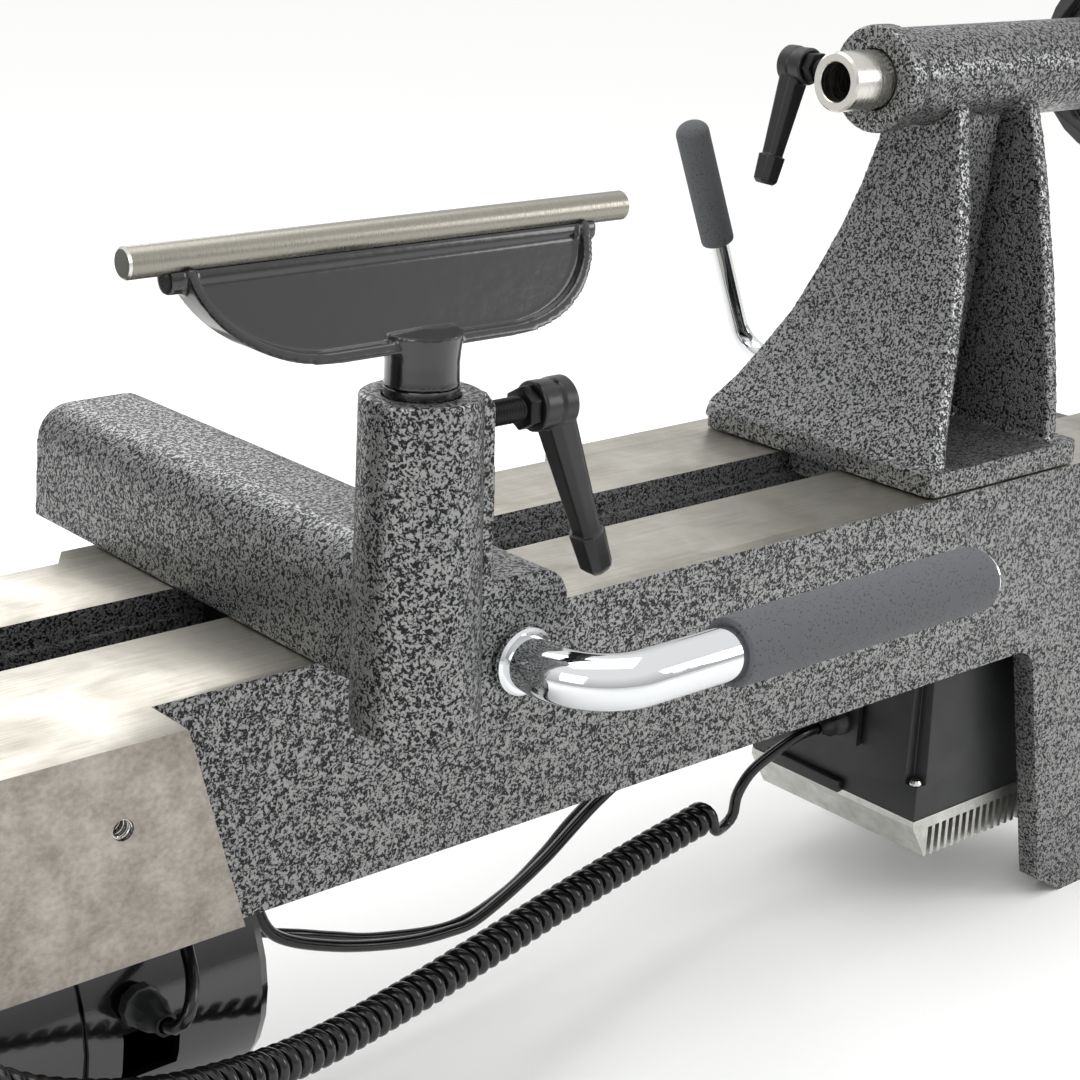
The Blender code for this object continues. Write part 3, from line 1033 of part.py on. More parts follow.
def main():
    global parts
    clear_scene()
    parts = bpy.data.collections.new("wood_lathe")
    bpy.context.scene.collection.children.link(parts)
    make_materials()
    make_bodies()
    make_bed()
    make_headstock()
    make_belt_door()
    make_spindle()
    make_drive()
    make_motor()
    make_belt_guard()
    make_banjo()
    ratchet_lever("post_lock", "post_lock", "post_lock_hub", (POST_LOCK_X, POST_Y, LOCK_Z), "X", 1,
                  POST_LOCK_X - POST_X - STEM_RADIUS - 0.001, (-0.2610, POST_Y, 0.0385))
    make_tool_rest()
    make_tailstock()
    make_quill()
    ratchet_lever("quill_lock", "quill_lock", "quill_lock_hub", (QUILL_LOCK_X, QUILL_LOCK_Y, CENTRE_HEIGHT), "Y", 1,
                  QUILL_LOCK_Y - SLOT_Y - QUILL_RADIUS - 0.001, (0.0170, 0.1330, 0.1220))
    make_control_box()
    make_remote()
    make_cables()


main()
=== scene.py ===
"""Looks of a bench wood lathe: hammered enamel castings, ground ways, bright handles and free cords.

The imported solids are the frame. Each sub-assembly gives its nodes the surface that the real process leaves
(cast, ground, turned, moulded or sheathed) and adds the small pieces that the frame leaves out. Places are
measured from the datum of the machine: the foot of the tailstock, the front edge of the bed, the top of the
ways.
"""

import json
import logging
import math
from collections.abc import Callable, Sequence
from dataclasses import dataclass
from enum import Enum

import bmesh
import bpy
from mathutils import Matrix, Vector

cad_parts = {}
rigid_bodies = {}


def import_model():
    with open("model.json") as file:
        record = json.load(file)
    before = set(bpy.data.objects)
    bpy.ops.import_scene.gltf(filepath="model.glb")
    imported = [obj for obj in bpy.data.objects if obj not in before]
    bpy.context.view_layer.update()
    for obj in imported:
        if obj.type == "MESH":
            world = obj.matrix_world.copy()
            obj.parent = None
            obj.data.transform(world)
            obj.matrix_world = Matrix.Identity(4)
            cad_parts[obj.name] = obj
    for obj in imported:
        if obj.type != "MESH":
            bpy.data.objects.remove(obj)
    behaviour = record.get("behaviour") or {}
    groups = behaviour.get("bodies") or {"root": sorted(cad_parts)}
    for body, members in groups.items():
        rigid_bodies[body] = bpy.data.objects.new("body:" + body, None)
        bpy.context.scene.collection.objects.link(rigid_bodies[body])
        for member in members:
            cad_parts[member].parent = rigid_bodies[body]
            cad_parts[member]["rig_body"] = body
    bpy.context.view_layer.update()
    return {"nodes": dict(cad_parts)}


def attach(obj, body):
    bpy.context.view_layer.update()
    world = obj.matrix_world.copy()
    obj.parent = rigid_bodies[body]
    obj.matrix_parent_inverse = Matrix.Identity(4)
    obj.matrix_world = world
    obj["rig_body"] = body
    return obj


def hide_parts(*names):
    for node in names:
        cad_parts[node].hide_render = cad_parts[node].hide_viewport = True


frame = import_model()
LOG = logging.getLogger("wood_lathe")

MM = 0.001
DATUM = Vector((0.24225, -0.0426, 0.238))
SLOT_Y = 0.076
CENTRE_HEIGHT = 0.178

Socket = bpy.types.NodeSocket
Tree = bpy.types.NodeTree
Shader = bpy.types.ShaderNode
Piece = bpy.types.Object
Work = bmesh.types.BMesh
Triple = tuple[float, float, float]
Profile = Sequence[tuple[float, float]]


class Axis(Enum):
    """The machine's axes, each with the turn that lays a local Z along it."""

    X = Matrix(((0, 0, 1), (1, 0, 0), (0, 1, 0)))
    Y = Matrix(((0, 1, 0), (0, 0, 1), (1, 0, 0)))
    Z = Matrix.Identity(3)


def at(x: float, y: float, z: float) -> Vector:
    """Turns a place measured from the machine's datum into the frame's own coordinates."""
    return DATUM + Vector((x, y, z))


# -----------------------------------------------------------------------------
# Mesh tools
# -----------------------------------------------------------------------------


def new_piece(name: str, mesh: bpy.types.Mesh) -> Piece:
    """Puts a mesh in the scene as an object.

    Args:
        name: the piece's plain name.
        mesh: its mesh, in the frame's coordinates.

    Returns:
        The new object.
    """
    mesh.name = name
    made = bpy.data.objects.new(name, mesh)
    bpy.context.scene.collection.objects.link(made)
    return made


def smoothed(mesh: bpy.types.Mesh, corner: float = 32.0) -> bpy.types.Mesh:
    """Shades a mesh smooth except across edges sharper than a corner angle in degrees."""
    mesh.shade_smooth()
    mesh.set_sharp_from_angle(angle=math.radians(corner))
    return mesh


def from_bmesh(work: Work, name: str) -> Piece:
    """Ends a bmesh as a smooth-shaded piece with its faces pointing out."""
    bmesh.ops.recalc_face_normals(work, faces=work.faces)
    mesh = bpy.data.meshes.new(name)
    work.to_mesh(mesh)
    work.free()
    return new_piece(name, smoothed(mesh))


def turned(name: str, profile: Profile, axis: Axis, centre: Vector, sides: int = 72) -> Piece:
    """Turns a profile about an axis.

    Args:
        name: the piece's name.
        profile: (radius, distance along the axis) points; closed on the axis if it starts and ends there.
        axis: the axis to turn about.
        centre: a point on the axis; distances are measured from it.
        sides: how many faces go round.

    Returns:
        The turned piece.
    """
    work = bmesh.new()
    solid = profile[0][0] == 0
    rings: list[list[bmesh.types.BMVert]] = []
    for radius, distance in profile:
        if radius == 0:
            rings.append([work.verts.new(centre + axis.value @ Vector((0, 0, distance)))])
            continue
        ring = []
        for side in range(sides):
            angle = 2 * math.pi * side / sides
            local = Vector((radius * math.cos(angle), radius * math.sin(angle), distance))
            ring.append(work.verts.new(centre + axis.value @ local))
        rings.append(ring)
    pairs = list(zip(rings, rings[1:]))
    if not solid:
        pairs.append((rings[-1], rings[0]))
    for lower, upper in pairs:
        for side in range(sides):
            after = (side + 1) % sides
            corners = [lower[side % len(lower)], lower[after % len(lower)]]
            corners += [upper[after % len(upper)], upper[side % len(upper)]]
            work.faces.new(list(dict.fromkeys(corners)))
    return from_bmesh(work, name)


def swept(name: str, path: Sequence[Vector], radius: float, sides: int = 40) -> Piece:
    """Sweeps a round bar along points, with flat ends.

    Args:
        name: the piece's name.
        path: the points of its middle line.
        radius: the bar's radius.
        sides: how many faces go round.

    Returns:
        The bar.
    """
    work = bmesh.new()
    heading = (path[1] - path[0]).normalized()
    across = heading.orthogonal().normalized()
    rings = []
    for index, point in enumerate(path):
        before, after = path[max(index - 1, 0)], path[min(index + 1, len(path) - 1)]
        turn = heading.rotation_difference((after - before).normalized())
        heading = turn @ heading
        across = turn @ across
        up = heading.cross(across)
        rings.append([
            work.verts.new(point + radius * (across * math.cos(a) + up * math.sin(a)))
            for a in (2 * math.pi * side / sides for side in range(sides))
        ])
    for lower, upper in zip(rings, rings[1:]):
        for side in range(sides):
            after = (side + 1) % sides
            work.faces.new((lower[side], lower[after], upper[after], upper[side]))
    work.faces.new(rings[0])
    work.faces.new(rings[-1])
    return from_bmesh(work, name)


def threaded(
    name: str, axis: Axis, centre: Vector, radius: float, depth: float, pitch: float,
    span: tuple[float, float],
) -> Piece:
    """Cuts a true screw thread on a short bar.

    Args:
        name: the piece's name.
        axis: the bar's axis.
        centre: a point on it.
        radius: the thread's outer radius.
        depth: how deep the groove is.
        pitch: distance from one turn to the next.
        span: where the bar starts and ends along its axis.

    Returns:
        The threaded bar.
    """
    sides, cuts = 28, 8
    rows = max(2, round((span[1] - span[0]) / pitch * cuts))
    work = bmesh.new()
    rings = []
    for row in range(rows + 1):
        distance = span[0] + (span[1] - span[0]) * row / rows
        ring = []
        for side in range(sides):
            turn = side / sides
            phase = (distance / pitch - turn) % 1.0
            here = radius - depth * abs(2 * phase - 1)
            angle = 2 * math.pi * turn
            ring.append(work.verts.new(
                centre + axis.value @ Vector((here * math.cos(angle), here * math.sin(angle), distance))))
        rings.append(ring)
    for lower, upper in zip(rings, rings[1:]):
        for side in range(sides):
            after = (side + 1) % sides
            work.faces.new((lower[side], lower[after], upper[after], upper[side]))
    work.faces.new(rings[0])
    work.faces.new(rings[-1])
    return from_bmesh(work, name)


def prism(
    name: str, outline: Sequence[tuple[float, float]], axis: Axis, centre: Vector, span: tuple[float, float],
    bevel: float = 0.0,
) -> Piece:
    """Extrudes an outline along an axis and breaks its edges.

    Args:
        name: the piece's name.
        outline: the outline's points across the axis.
        axis: the axis to extrude along.
        centre: the point that the outline and the span are measured from.
        span: where it starts and ends along the axis.
        bevel: how far its edges are broken.

    Returns:
        The extruded piece.
    """
    work = bmesh.new()
    rings = [
        [work.verts.new(centre + axis.value @ Vector((u, v, distance))) for u, v in outline]
        for distance in span
    ]
    work.faces.new(rings[0])
    work.faces.new(rings[1])
    for index in range(len(outline)):
        after = (index + 1) % len(outline)
        work.faces.new((rings[0][index], rings[0][after], rings[1][after], rings[1][index]))
    bmesh.ops.recalc_face_normals(work, faces=work.faces)
    if bevel:
        break_edges(work, bevel, 30.0)
    return from_bmesh(work, name)


def polygon(radius: float, count: int, start: float = 0.5) -> list[tuple[float, float]]:
    """Points of a regular outline, its first one turned by a share of a side."""
    angles = [2 * math.pi * (index + start) / count for index in range(count)]
    return [(radius * math.cos(a), radius * math.sin(a)) for a in angles]


def break_edges(work: Work, width: float, corner: float) -> None:
    """Rounds the edges of a bmesh that are sharper than a corner angle in degrees."""
    edges = [e for e in work.edges if len(e.link_faces) == 2 and e.calc_face_angle() > math.radians(corner)]
    bmesh.ops.bevel(
        work, geom=edges, offset=width, offset_type="OFFSET", segments=3, profile=0.5, affect="EDGES",
        clamp_overlap=True, loop_slide=True)


def node_mesh(node: str) -> Work:
    """The welded mesh of a CAD node, its flat faces whole again."""
    work = bmesh.new()
    work.from_mesh(frame["nodes"][node].data)
    bmesh.ops.remove_doubles(work, verts=work.verts, dist=0.000002)
    bmesh.ops.dissolve_limit(work, angle_limit=math.radians(0.5), verts=work.verts, edges=work.edges)
    return work


def evaluated(piece: Piece) -> Piece:
    """Applies a piece's modifiers and returns it with the finished mesh."""
    bpy.context.view_layer.update()
    mesh = bpy.data.meshes.new_from_object(piece.evaluated_get(bpy.context.evaluated_depsgraph_get()))
    piece.modifiers.clear()
    piece.data = smoothed(mesh)
    return piece


def cast_surface(piece: Piece, grain: float, rounds: int) -> Piece:
    """Gives a piece the soft edges and fillets of a casting or moulding.

    Args:
        piece: one or more closed bodies that may cross each other; they become one skin.
        grain: the skin's face size.
        rounds: how many times its edges are eased.

    Returns:
        The same piece, with its new mesh.
    """
    skin = piece.modifiers.new("skin", "REMESH")
    skin.mode = "VOXEL"
    skin.voxel_size = grain
    ease = piece.modifiers.new("ease", "SMOOTH")
    ease.factor = 0.5
    ease.iterations = rounds
    evaluated(piece)
    piece.data.shade_smooth()
    return piece


def joined(first: Piece, *others: Piece) -> Piece:
    """Puts the meshes of several pieces in the first one, and removes the others."""
    work = bmesh.new()
    work.from_mesh(first.data)
    for other in others:
        work.from_mesh(other.data)
        bpy.data.objects.remove(other, do_unlink=True)
    work.to_mesh(first.data)
    work.free()
    smoothed(first.data)
    return first


def cut_by(piece: Piece, *cutters: Piece) -> Piece:
    """Cuts closed bodies from a piece, and removes them."""
    for cutter in cutters:
        step = piece.modifiers.new("cut", "BOOLEAN")
        step.operation = "DIFFERENCE"
        step.object = cutter
    evaluated(piece)
    for cutter in cutters:
        bpy.data.objects.remove(cutter, do_unlink=True)
    return piece


def bent_path(corners: Sequence[Vector], radius: float, steps: int = 24) -> list[Vector]:
    """Points of a bar that runs through corners, each bent to a radius."""
    points = [corners[0]]
    for before, here, after in zip(corners, corners[1:], corners[2:]):
        back, ahead = (before - here).normalized(), (after - here).normalized()
        half = back.angle(ahead) / 2
        centre = here + (back + ahead).normalized() * radius / math.sin(half)
        start = here + back * radius / math.tan(half) - centre
        end = here + ahead * radius / math.tan(half) - centre
        sweep = start.rotation_difference(end)
        for step in range(steps + 1):
            turn = Matrix.Rotation(sweep.angle * step / steps, 3, sweep.axis)
            points.append(centre + turn @ start)
    points.append(corners[-1])
    return points


def smooth_route(knots: Sequence[Vector], spacing: float) -> list[Vector]:
    """Evenly read points of a smooth curve through given knots."""
    ends = [2 * knots[0] - knots[1], *knots, 2 * knots[-1] - knots[-2]]
    fine = []
    for a, b, c, d in zip(ends, ends[1:], ends[2:], ends[3:]):
        for step in range(24):
            t = step / 24
            fine.append(0.5 * (
                2 * b + (c - a) * t + (2 * a - 5 * b + 4 * c - d) * t**2 + (3 * b - a - 3 * c + d) * t**3))
    fine.append(knots[-1])
    length = route_length(fine)
    count = max(2, round(length / spacing))
    route, walked, wanted = [fine[0]], 0.0, length / count
    for p, q in zip(fine, fine[1:]):
        step = (q - p).length
        while walked + step >= wanted - 1e-9 and len(route) < count:
            route.append(p.lerp(q, (wanted - walked) / step))
            wanted += length / count
        walked += step
    route.append(fine[-1])
    return route


def route_length(points: Sequence[Vector]) -> float:
    """The length of a line through points."""
    return sum((q - p).length for p, q in zip(points, points[1:]))


# -----------------------------------------------------------------------------
# Finishes
# -----------------------------------------------------------------------------


def linear(colour: str) -> tuple[float, float, float, float]:
    """Turns an sRGB hex colour into linear red, green, blue and alpha."""
    channels = [int(colour[i:i + 2], 16) / 255 for i in (1, 3, 5)]
    return (*[c / 12.92 if c <= 0.04045 else ((c + 0.055) / 1.055) ** 2.4 for c in channels], 1.0)


def add(
    tree: Tree, kind: str, settings: dict[str, object], inputs: dict[str | int, object],
) -> Shader:
    """Adds a shader node.

    Args:
        tree: the material's node tree.
        kind: the node's type, without its common prefix.
        settings: the node's own settings.
        inputs: for each input, a socket to link or a value to hold.

    Returns:
        The new node.
    """
    node = tree.nodes.new("ShaderNode" + kind)
    for key, value in settings.items():
        setattr(node, key, value)
    for key, value in inputs.items():
        if isinstance(value, Socket):
            tree.links.new(value, node.inputs[key])
        else:
            node.inputs[key].default_value = value
    return node


@dataclass(frozen=True)
class Finish:
    """A surface: its name, its record slot and the plain values of its shader."""

    name: str
    slot: str
    colour: str
    metallic: float = 0.0
    roughness: float = 0.4

    def build(self) -> bpy.types.Material:
        """Makes the material once and returns it each time."""
        made = bpy.data.materials.get(self.name)
        if made is None:
            made = bpy.data.materials.new(self.name)
            made.use_nodes = True
            tree = made.node_tree
            shader = tree.nodes["Principled BSDF"]
            shader.inputs["Base Color"].default_value = linear(self.colour)
            shader.inputs["Metallic"].default_value = self.metallic
            shader.inputs["Roughness"].default_value = self.roughness
            place = add(tree, "TexCoord", {}, {}).outputs["Object"]
            self.detail(tree, shader, place)
        return made

    def detail(self, tree: Tree, shader: Shader, place: Socket) -> None:
        """Adds the finish's own pattern; a plain finish has a faint one."""
        self.mottle(tree, shader, place, size=6 * MM, relief=0.01 * MM, spread=0.04)

    def ramp(
        self, tree: Tree, value: Socket, low: float, high: float, start: float = 0.0, end: float = 1.0,
    ) -> Socket:
        """Maps a value from low..high to start..end, with soft ends."""
        node = add(tree, "MapRange", {"interpolation_type": "SMOOTHSTEP"}, {
            "Value": value, "From Min": low, "From Max": high, "To Min": start, "To Max": end})
        return node.outputs["Result"]

    def noise(
        self, tree: Tree, place: Socket, size: float, detail: float = 2.0, distortion: float = 0.0,
        stretch: Triple = (1, 1, 1),
    ) -> Socket:
        """A cloud pattern whose patches are about one size, drawn out along an axis if asked."""
        spread = add(tree, "Mapping", {}, {"Vector": place, "Scale": stretch}).outputs["Vector"]
        node = add(tree, "TexNoise", {}, {
            "Vector": spread, "Scale": 1 / size, "Detail": detail, "Roughness": 0.55,
            "Distortion": distortion})
        return node.outputs["Fac"]

    def blend(
        self, tree: Tree, shader: Shader, share: Socket, low: str, high: str,
    ) -> Socket:
        """Colours the shader between two hex colours."""
        node = add(tree, "Mix", {"data_type": "RGBA"}, {0: share, 6: linear(low), 7: linear(high)})
        tree.links.new(node.outputs[2], shader.inputs["Base Color"])
        return node.outputs[2]

    def relief(
        self, tree: Tree, shader: Shader, height: Socket, depth: float,
        under: Socket | None = None,
    ) -> Socket:
        """Raises a height pattern by a real depth, over another relief if given."""
        inputs: dict[str | int, object] = {"Height": height, "Distance": depth, "Strength": 1.0}
        if under is not None:
            inputs["Normal"] = under
        bump = add(tree, "Bump", {}, inputs).outputs["Normal"]
        tree.links.new(bump, shader.inputs["Normal"])
        return bump

    def mottle(
        self, tree: Tree, shader: Shader, place: Socket, size: float, relief: float,
        spread: float,
    ) -> None:
        """Uneven gloss and a slight relief of one patch size."""
        cloud = self.noise(tree, place, size, 3.0)
        gloss = self.ramp(tree, cloud, 0.3, 0.7, self.roughness - spread, self.roughness + spread)
        tree.links.new(gloss, shader.inputs["Roughness"])
        self.relief(tree, shader, cloud, relief)


@dataclass(frozen=True)
class HammeredEnamel(Finish):
    """Silver hammered enamel sprayed on iron: the flake gathers in winding worms on a near-black ground."""

    ground: str = "#1C1D1E"
    cell: float = 1.5 * MM
    depth: float = 0.20 * MM

    def detail(self, tree: Tree, shader: Shader, place: Socket) -> None:
        """Draws bright winding worms between dark pools, with the worms raised."""
        cloud = self.noise(tree, place, self.cell, 1.0, 0.8)
        patch = self.noise(tree, place, 0.9 * MM, 1.0, 0.6)
        both = add(tree, "Math", {"operation": "MULTIPLY_ADD"}, {0: patch, 1: 0.75, 2: cloud}).outputs[0]
        worm = self.ramp(tree, both, 0.76, 0.98)
        self.blend(tree, shader, worm, self.ground, self.colour)
        gloss = self.ramp(tree, worm, 0.0, 1.0, self.roughness + 0.14, self.roughness)
        tree.links.new(gloss, shader.inputs["Roughness"])
        wave = self.noise(tree, place, 8 * MM, 1.0)
        swell = self.relief(tree, shader, wave, 0.20 * MM)
        self.relief(tree, shader, worm, self.depth, swell)


@dataclass(frozen=True)
class GroundIron(Finish):
    """Surface-ground or milled cast iron: fine lines along the cut under a soft graphite haze."""

    shade: str = "#8C877C"
    line: float = 0.5 * MM
    stretch: Triple = (0.012, 1.0, 1.0)
    haze: float = 34 * MM
    depth: float = 0.006 * MM

    def detail(self, tree: Tree, shader: Shader, place: Socket) -> None:
        """Draws the cut's lines and a soft cloud of darker iron."""
        lines = self.noise(tree, place, self.line, 2.0, 0.0, self.stretch)
        cloud = self.noise(tree, place, self.haze, 4.0, 0.4)
        both = add(tree, "Math", {"operation": "MULTIPLY_ADD"}, {0: lines, 1: 0.6, 2: cloud}).outputs[0]
        share = self.ramp(tree, both, 0.35, 1.25)
        self.blend(tree, shader, share, self.shade, self.colour)
        gloss = self.ramp(tree, both, 0.35, 1.25, self.roughness + 0.08, self.roughness - 0.05)
        tree.links.new(gloss, shader.inputs["Roughness"])
        self.relief(tree, shader, lines, self.depth)


@dataclass(frozen=True)
class TurnedSteel(Finish):
    """Steel turned on a lathe: rings round the piece, one to each pass of the tool."""

    rings: Axis = Axis.X
    pitch: float = 0.45 * MM
    depth: float = 0.006 * MM

    def detail(self, tree: Tree, shader: Shader, place: Socket) -> None:
        """Draws thin rings across the axis and a faint cloud."""
        stretch = tuple(1.0 if part else 0.03 for part in self.rings.value @ Vector((0, 0, 1)))
        lines = self.noise(tree, place, self.pitch, 2.0, 0.0, stretch)
        gloss = self.ramp(tree, lines, 0.3, 0.7, self.roughness - 0.06, self.roughness + 0.10)
        tree.links.new(gloss, shader.inputs["Roughness"])
        self.relief(tree, shader, lines, self.depth)


@dataclass(frozen=True)
class PittedSkin(Finish):
    """Closed-cell foam or cast rubber: a dull skin with many small pits, darkened by painted shade."""

    cell: float = 1.4 * MM
    depth: float = 0.25 * MM
    # The colour in the pits is painted shade, not the skin's own colour.
    pit_shade: str = "#2E3033"

    def detail(self, tree: Tree, shader: Shader, place: Socket) -> None:
        """Draws the pits, a few of them deep, with painted shade darkening them, and a grain of random tone
        between them.
        """
        cells = add(tree, "TexVoronoi", {}, {"Vector": place, "Scale": 1 / self.cell}).outputs["Distance"]
        grain = self.noise(tree, place, 0.6 * MM, 3.0)
        pits = self.ramp(tree, cells, 0.05, 0.30)
        skin = add(tree, "Math", {"operation": "MULTIPLY_ADD"}, {0: grain, 1: 0.6, 2: pits}).outputs[0]
        share = self.ramp(tree, skin, 0.5, 1.25)
        # Painted shade: the pits take the darker colour, and the grain adds a random tone over the skin.
        self.blend(tree, shader, share, self.pit_shade, self.colour)
        self.relief(tree, shader, skin, self.depth)


@dataclass(frozen=True)
class LumpyEnamel(Finish):
    """Gloss enamel brushed thick over rough iron: soft lumps and a few craters under a clear shine."""

    cell: float = 5.0 * MM
    depth: float = 0.10 * MM

    def detail(self, tree: Tree, shader: Shader, place: Socket) -> None:
        """Raises two sizes of lump under the gloss."""
        broad = self.noise(tree, place, self.cell, 1.0)
        fine = self.noise(tree, place, 1.3 * MM, 2.0)
        swell = self.relief(tree, shader, broad, self.depth)
        self.relief(tree, shader, fine, 0.035 * MM, swell)
        shader.inputs["Coat Weight"].default_value = 0.6
        shader.inputs["Coat Roughness"].default_value = 0.06


@dataclass(frozen=True)
class MouldedPlastic(Finish):
    """Moulded nylon or ABS: a spark-eroded mould leaves an even fine grain."""

    grain: float = 0.5 * MM
    depth: float = 0.02 * MM

    def detail(self, tree: Tree, shader: Shader, place: Socket) -> None:
        """Draws the mould's grain, and a faint change of gloss over it."""
        fine = self.noise(tree, place, self.grain, 2.0)
        broad = self.noise(tree, place, 14 * MM, 2.0)
        gloss = self.ramp(tree, broad, 0.3, 0.7, self.roughness - 0.05, self.roughness + 0.06)
        tree.links.new(gloss, shader.inputs["Roughness"])
        self.relief(tree, shader, fine, self.depth)


HAMMERED = HammeredEnamel("hammered_silver_enamel", "hammered_paint", "#8E8F8E", 0.75, 0.30)
WAYS = GroundIron("ground_iron_ways", "bright_steel", "#DAD6CB", 1.0, 0.34)
PAD = GroundIron(
    "milled_iron_pad", "bright_steel", "#B0AAA1", 0.85, 0.46, shade="#837C73", line=1.1 * MM,
    stretch=(0.5, 1.0, 0.6), haze=16 * MM)
TURNED_X = TurnedSteel("turned_steel_along_bed", "bright_steel", "#C9C6C0", 1.0, 0.24)
TURNED_Z = TurnedSteel("turned_steel_upright", "bright_steel", "#B9B6B0", 1.0, 0.28, rings=Axis.Z)
SATIN_BAR = TurnedSteel(
    "satin_ground_bar", "satin_steel", "#8F8C83", 1.0, 0.30, pitch=0.3 * MM, depth=0.003 * MM)
BAR_END = Finish("faced_bar_end", "bright_steel", "#D2D0CA", 1.0, 0.25)
CHROME = Finish("bright_chrome_plate", "chrome", "#D9DBDD", 1.0, 0.05)
BLACK_OXIDE = Finish("black_oxide_steel", "black_oxide", "#2B2B2C", 0.9, 0.38)
REST_ENAMEL = LumpyEnamel("gloss_black_enamel", "black_enamel", "#0B0C0C", 0.0, 0.22)
LEVER_NYLON = MouldedPlastic("glass_filled_nylon", "black_plastic", "#121213", 0.0, 0.36)
CASE_ABS = MouldedPlastic("moulded_abs", "black_plastic", "#17181A", 0.0, 0.42)
# The foam's darker pit colour is painted shade in its pits.
FOAM = PittedSkin("closed_cell_foam", "grey_foam", "#55575A", 0.0, 0.85)
MOTOR_ENAMEL = LumpyEnamel(
    "gloss_motor_enamel", "gloss_black", "#0A0A0B", 0.0, 0.16, cell=3 * MM, depth=0.03 * MM)
ALUMINIUM = GroundIron(
    "extruded_aluminium", "aluminium", "#D6D6D3", 1.0, 0.36, shade="#A9A8A2", line=0.7 * MM,
    stretch=(1.0, 0.02, 1.0), haze=9 * MM)
SHEATH = MouldedPlastic("pvc_sheath", "black_pvc", "#0C0C0D", 0.0, 0.22, grain=1.2 * MM, depth=0.01 * MM)
# The belt's darker pit colour (#101011) is painted shade in its pits.
BELT = PittedSkin(
    "ribbed_belt_rubber", "belt_rubber", "#1D1D1E", 0.0, 0.8, cell=0.8 * MM, depth=0.05 * MM, pit_shade="#101011")
GREEN = MouldedPlastic("green_button_plastic", "green_plastic", "#1F8A3B", 0.0, 0.34)
RED = MouldedPlastic("red_button_plastic", "red_plastic", "#B81D1D", 0.0, 0.34)
GLASS = Finish("display_window", "display_window", "#1A2422", 0.0, 0.08)
WHITE_MARK = MouldedPlastic("printed_white_mark", "black_plastic", "#D8D8D4", 0.0, 0.5)
BRASS = Finish("turned_brass", "bright_steel", "#B08D4A", 1.0, 0.3)


def finish_piece(
    piece: Piece, body: str, finish: Finish, *nodes: str, slot: str | None = None,
) -> Piece:
    """Dresses a piece, hangs it on its body and says which nodes it stands for.

    Args:
        piece: the piece, in place.
        body: the CAD body that it rides on.
        finish: its surface.
        nodes: the CAD nodes that it replaces.
        slot: not used.

    Returns:
        The piece.
    """
    if not piece.data.materials:
        piece.data.materials.append(finish.build())
    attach(piece, body)
    if nodes:
        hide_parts(*nodes)
    LOG.info("%s rides on %s in %s", piece.name, body, finish.name)
    return piece


def body_of(node: str) -> str:
    """The CAD body that carries a node."""
    return frame["nodes"][node]["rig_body"]


def refine(node: str, finish: Finish, edge: float = 0.0, corner: float = 40.0) -> Piece:
    """Replaces a node by a smooth-shaded copy with its edges broken.

    Args:
        node: the CAD node.
        finish: its surface.
        edge: how far its edges are broken; 0 leaves them sharp.
        corner: the angle in degrees above which an edge counts as one.

    Returns:
        The new piece.
    """
    work = node_mesh(node)
    if edge:
        break_edges(work, edge, corner)
    piece = from_bmesh(work, "finished_" + node)
    return finish_piece(piece, body_of(node), finish, node)


def recast(node: str, finish: Finish, grain: float, rounds: int, *extra: Piece) -> Piece:
    """Replaces a node by a cast or moulded skin over it and any extra bodies."""
    piece = from_bmesh(node_mesh(node), "finished_" + node)
    if extra:
        joined(piece, *extra)
    cast_surface(piece, grain, rounds)
    return finish_piece(piece, body_of(node), finish, node)


def refine_all(rows: Sequence[tuple[str, Finish, float]]) -> None:
    """Refines several nodes, each row giving a node, its finish and how far its edges are broken."""
    for node, finish, edge in rows:
        refine(node, finish, edge)


def dress(finish: Finish, *nodes: str) -> None:
    """Gives CAD nodes that stay as they are their finish."""
    for node in nodes:
        data = frame["nodes"][node].data
        data.materials.clear()
        data.materials.append(finish.build())
        LOG.info("%s keeps its solid, in %s", node, finish.name)


def paint_faces(
    piece: Piece, finishes: Sequence[Finish], choose: Callable[[Vector, Vector], int],
) -> None:
    """Gives each face of a piece one of several finishes.

    Args:
        piece: the piece.
        finishes: the finishes, the common one first.
        choose: picks one from a face's middle, measured from the machine's datum, and its normal.
    """
    piece.data.materials.clear()
    for finish in finishes:
        piece.data.materials.append(finish.build())
    for face in piece.data.polygons:
        face.material_index = choose(face.center - DATUM, face.normal)


# -----------------------------------------------------------------------------
# Bed, headstock and drive
# -----------------------------------------------------------------------------


@dataclass
class Bed:
    """The bed casting: ways ground along their length, a milled pad with tapped holes, paint elsewhere."""

    edge: float = 0.9 * MM
    pad_face: float = -0.0222
    way_lip: float = -0.0014
    tapped_x: tuple[float, ...] = (-0.430, -0.530, -0.620)
    tapped_z: float = -0.0295
    thread_radius: float = 3.95 * MM
    thread_pitch: float = 1.25 * MM
    turns: int = 11
    turn_points: int = 20
    mouth: float = -0.0221

    def face_finish(self, middle: Vector, normal: Vector) -> int:
        """Ground on top of the ways, milled on the front pad, painted elsewhere."""
        if middle.z > self.way_lip and normal.z > 0.15:
            return 1
        if middle.y < self.pad_face and normal.y < -0.5:
            return 2
        return 0

    def build(self) -> None:
        """Makes the bed and the threads of its tapped holes."""
        bed = refine("bed_casting", HAMMERED, self.edge)
        paint_faces(bed, (HAMMERED, WAYS, PAD), self.face_finish)
        reach = self.thread_radius - 0.35 * MM
        for index, x in enumerate(self.tapped_x):
            path = []
            for step in range(self.turns * self.turn_points + 1):
                angle = 2 * math.pi * step / self.turn_points
                path.append(at(
                    x + reach * math.cos(angle), self.mouth + self.thread_pitch * step / self.turn_points,
                    self.tapped_z + reach * math.sin(angle)))
            finish_piece(swept(f"tapped_thread_{index + 1}", path, 0.45 * MM, 8), "bed", TURNED_X)


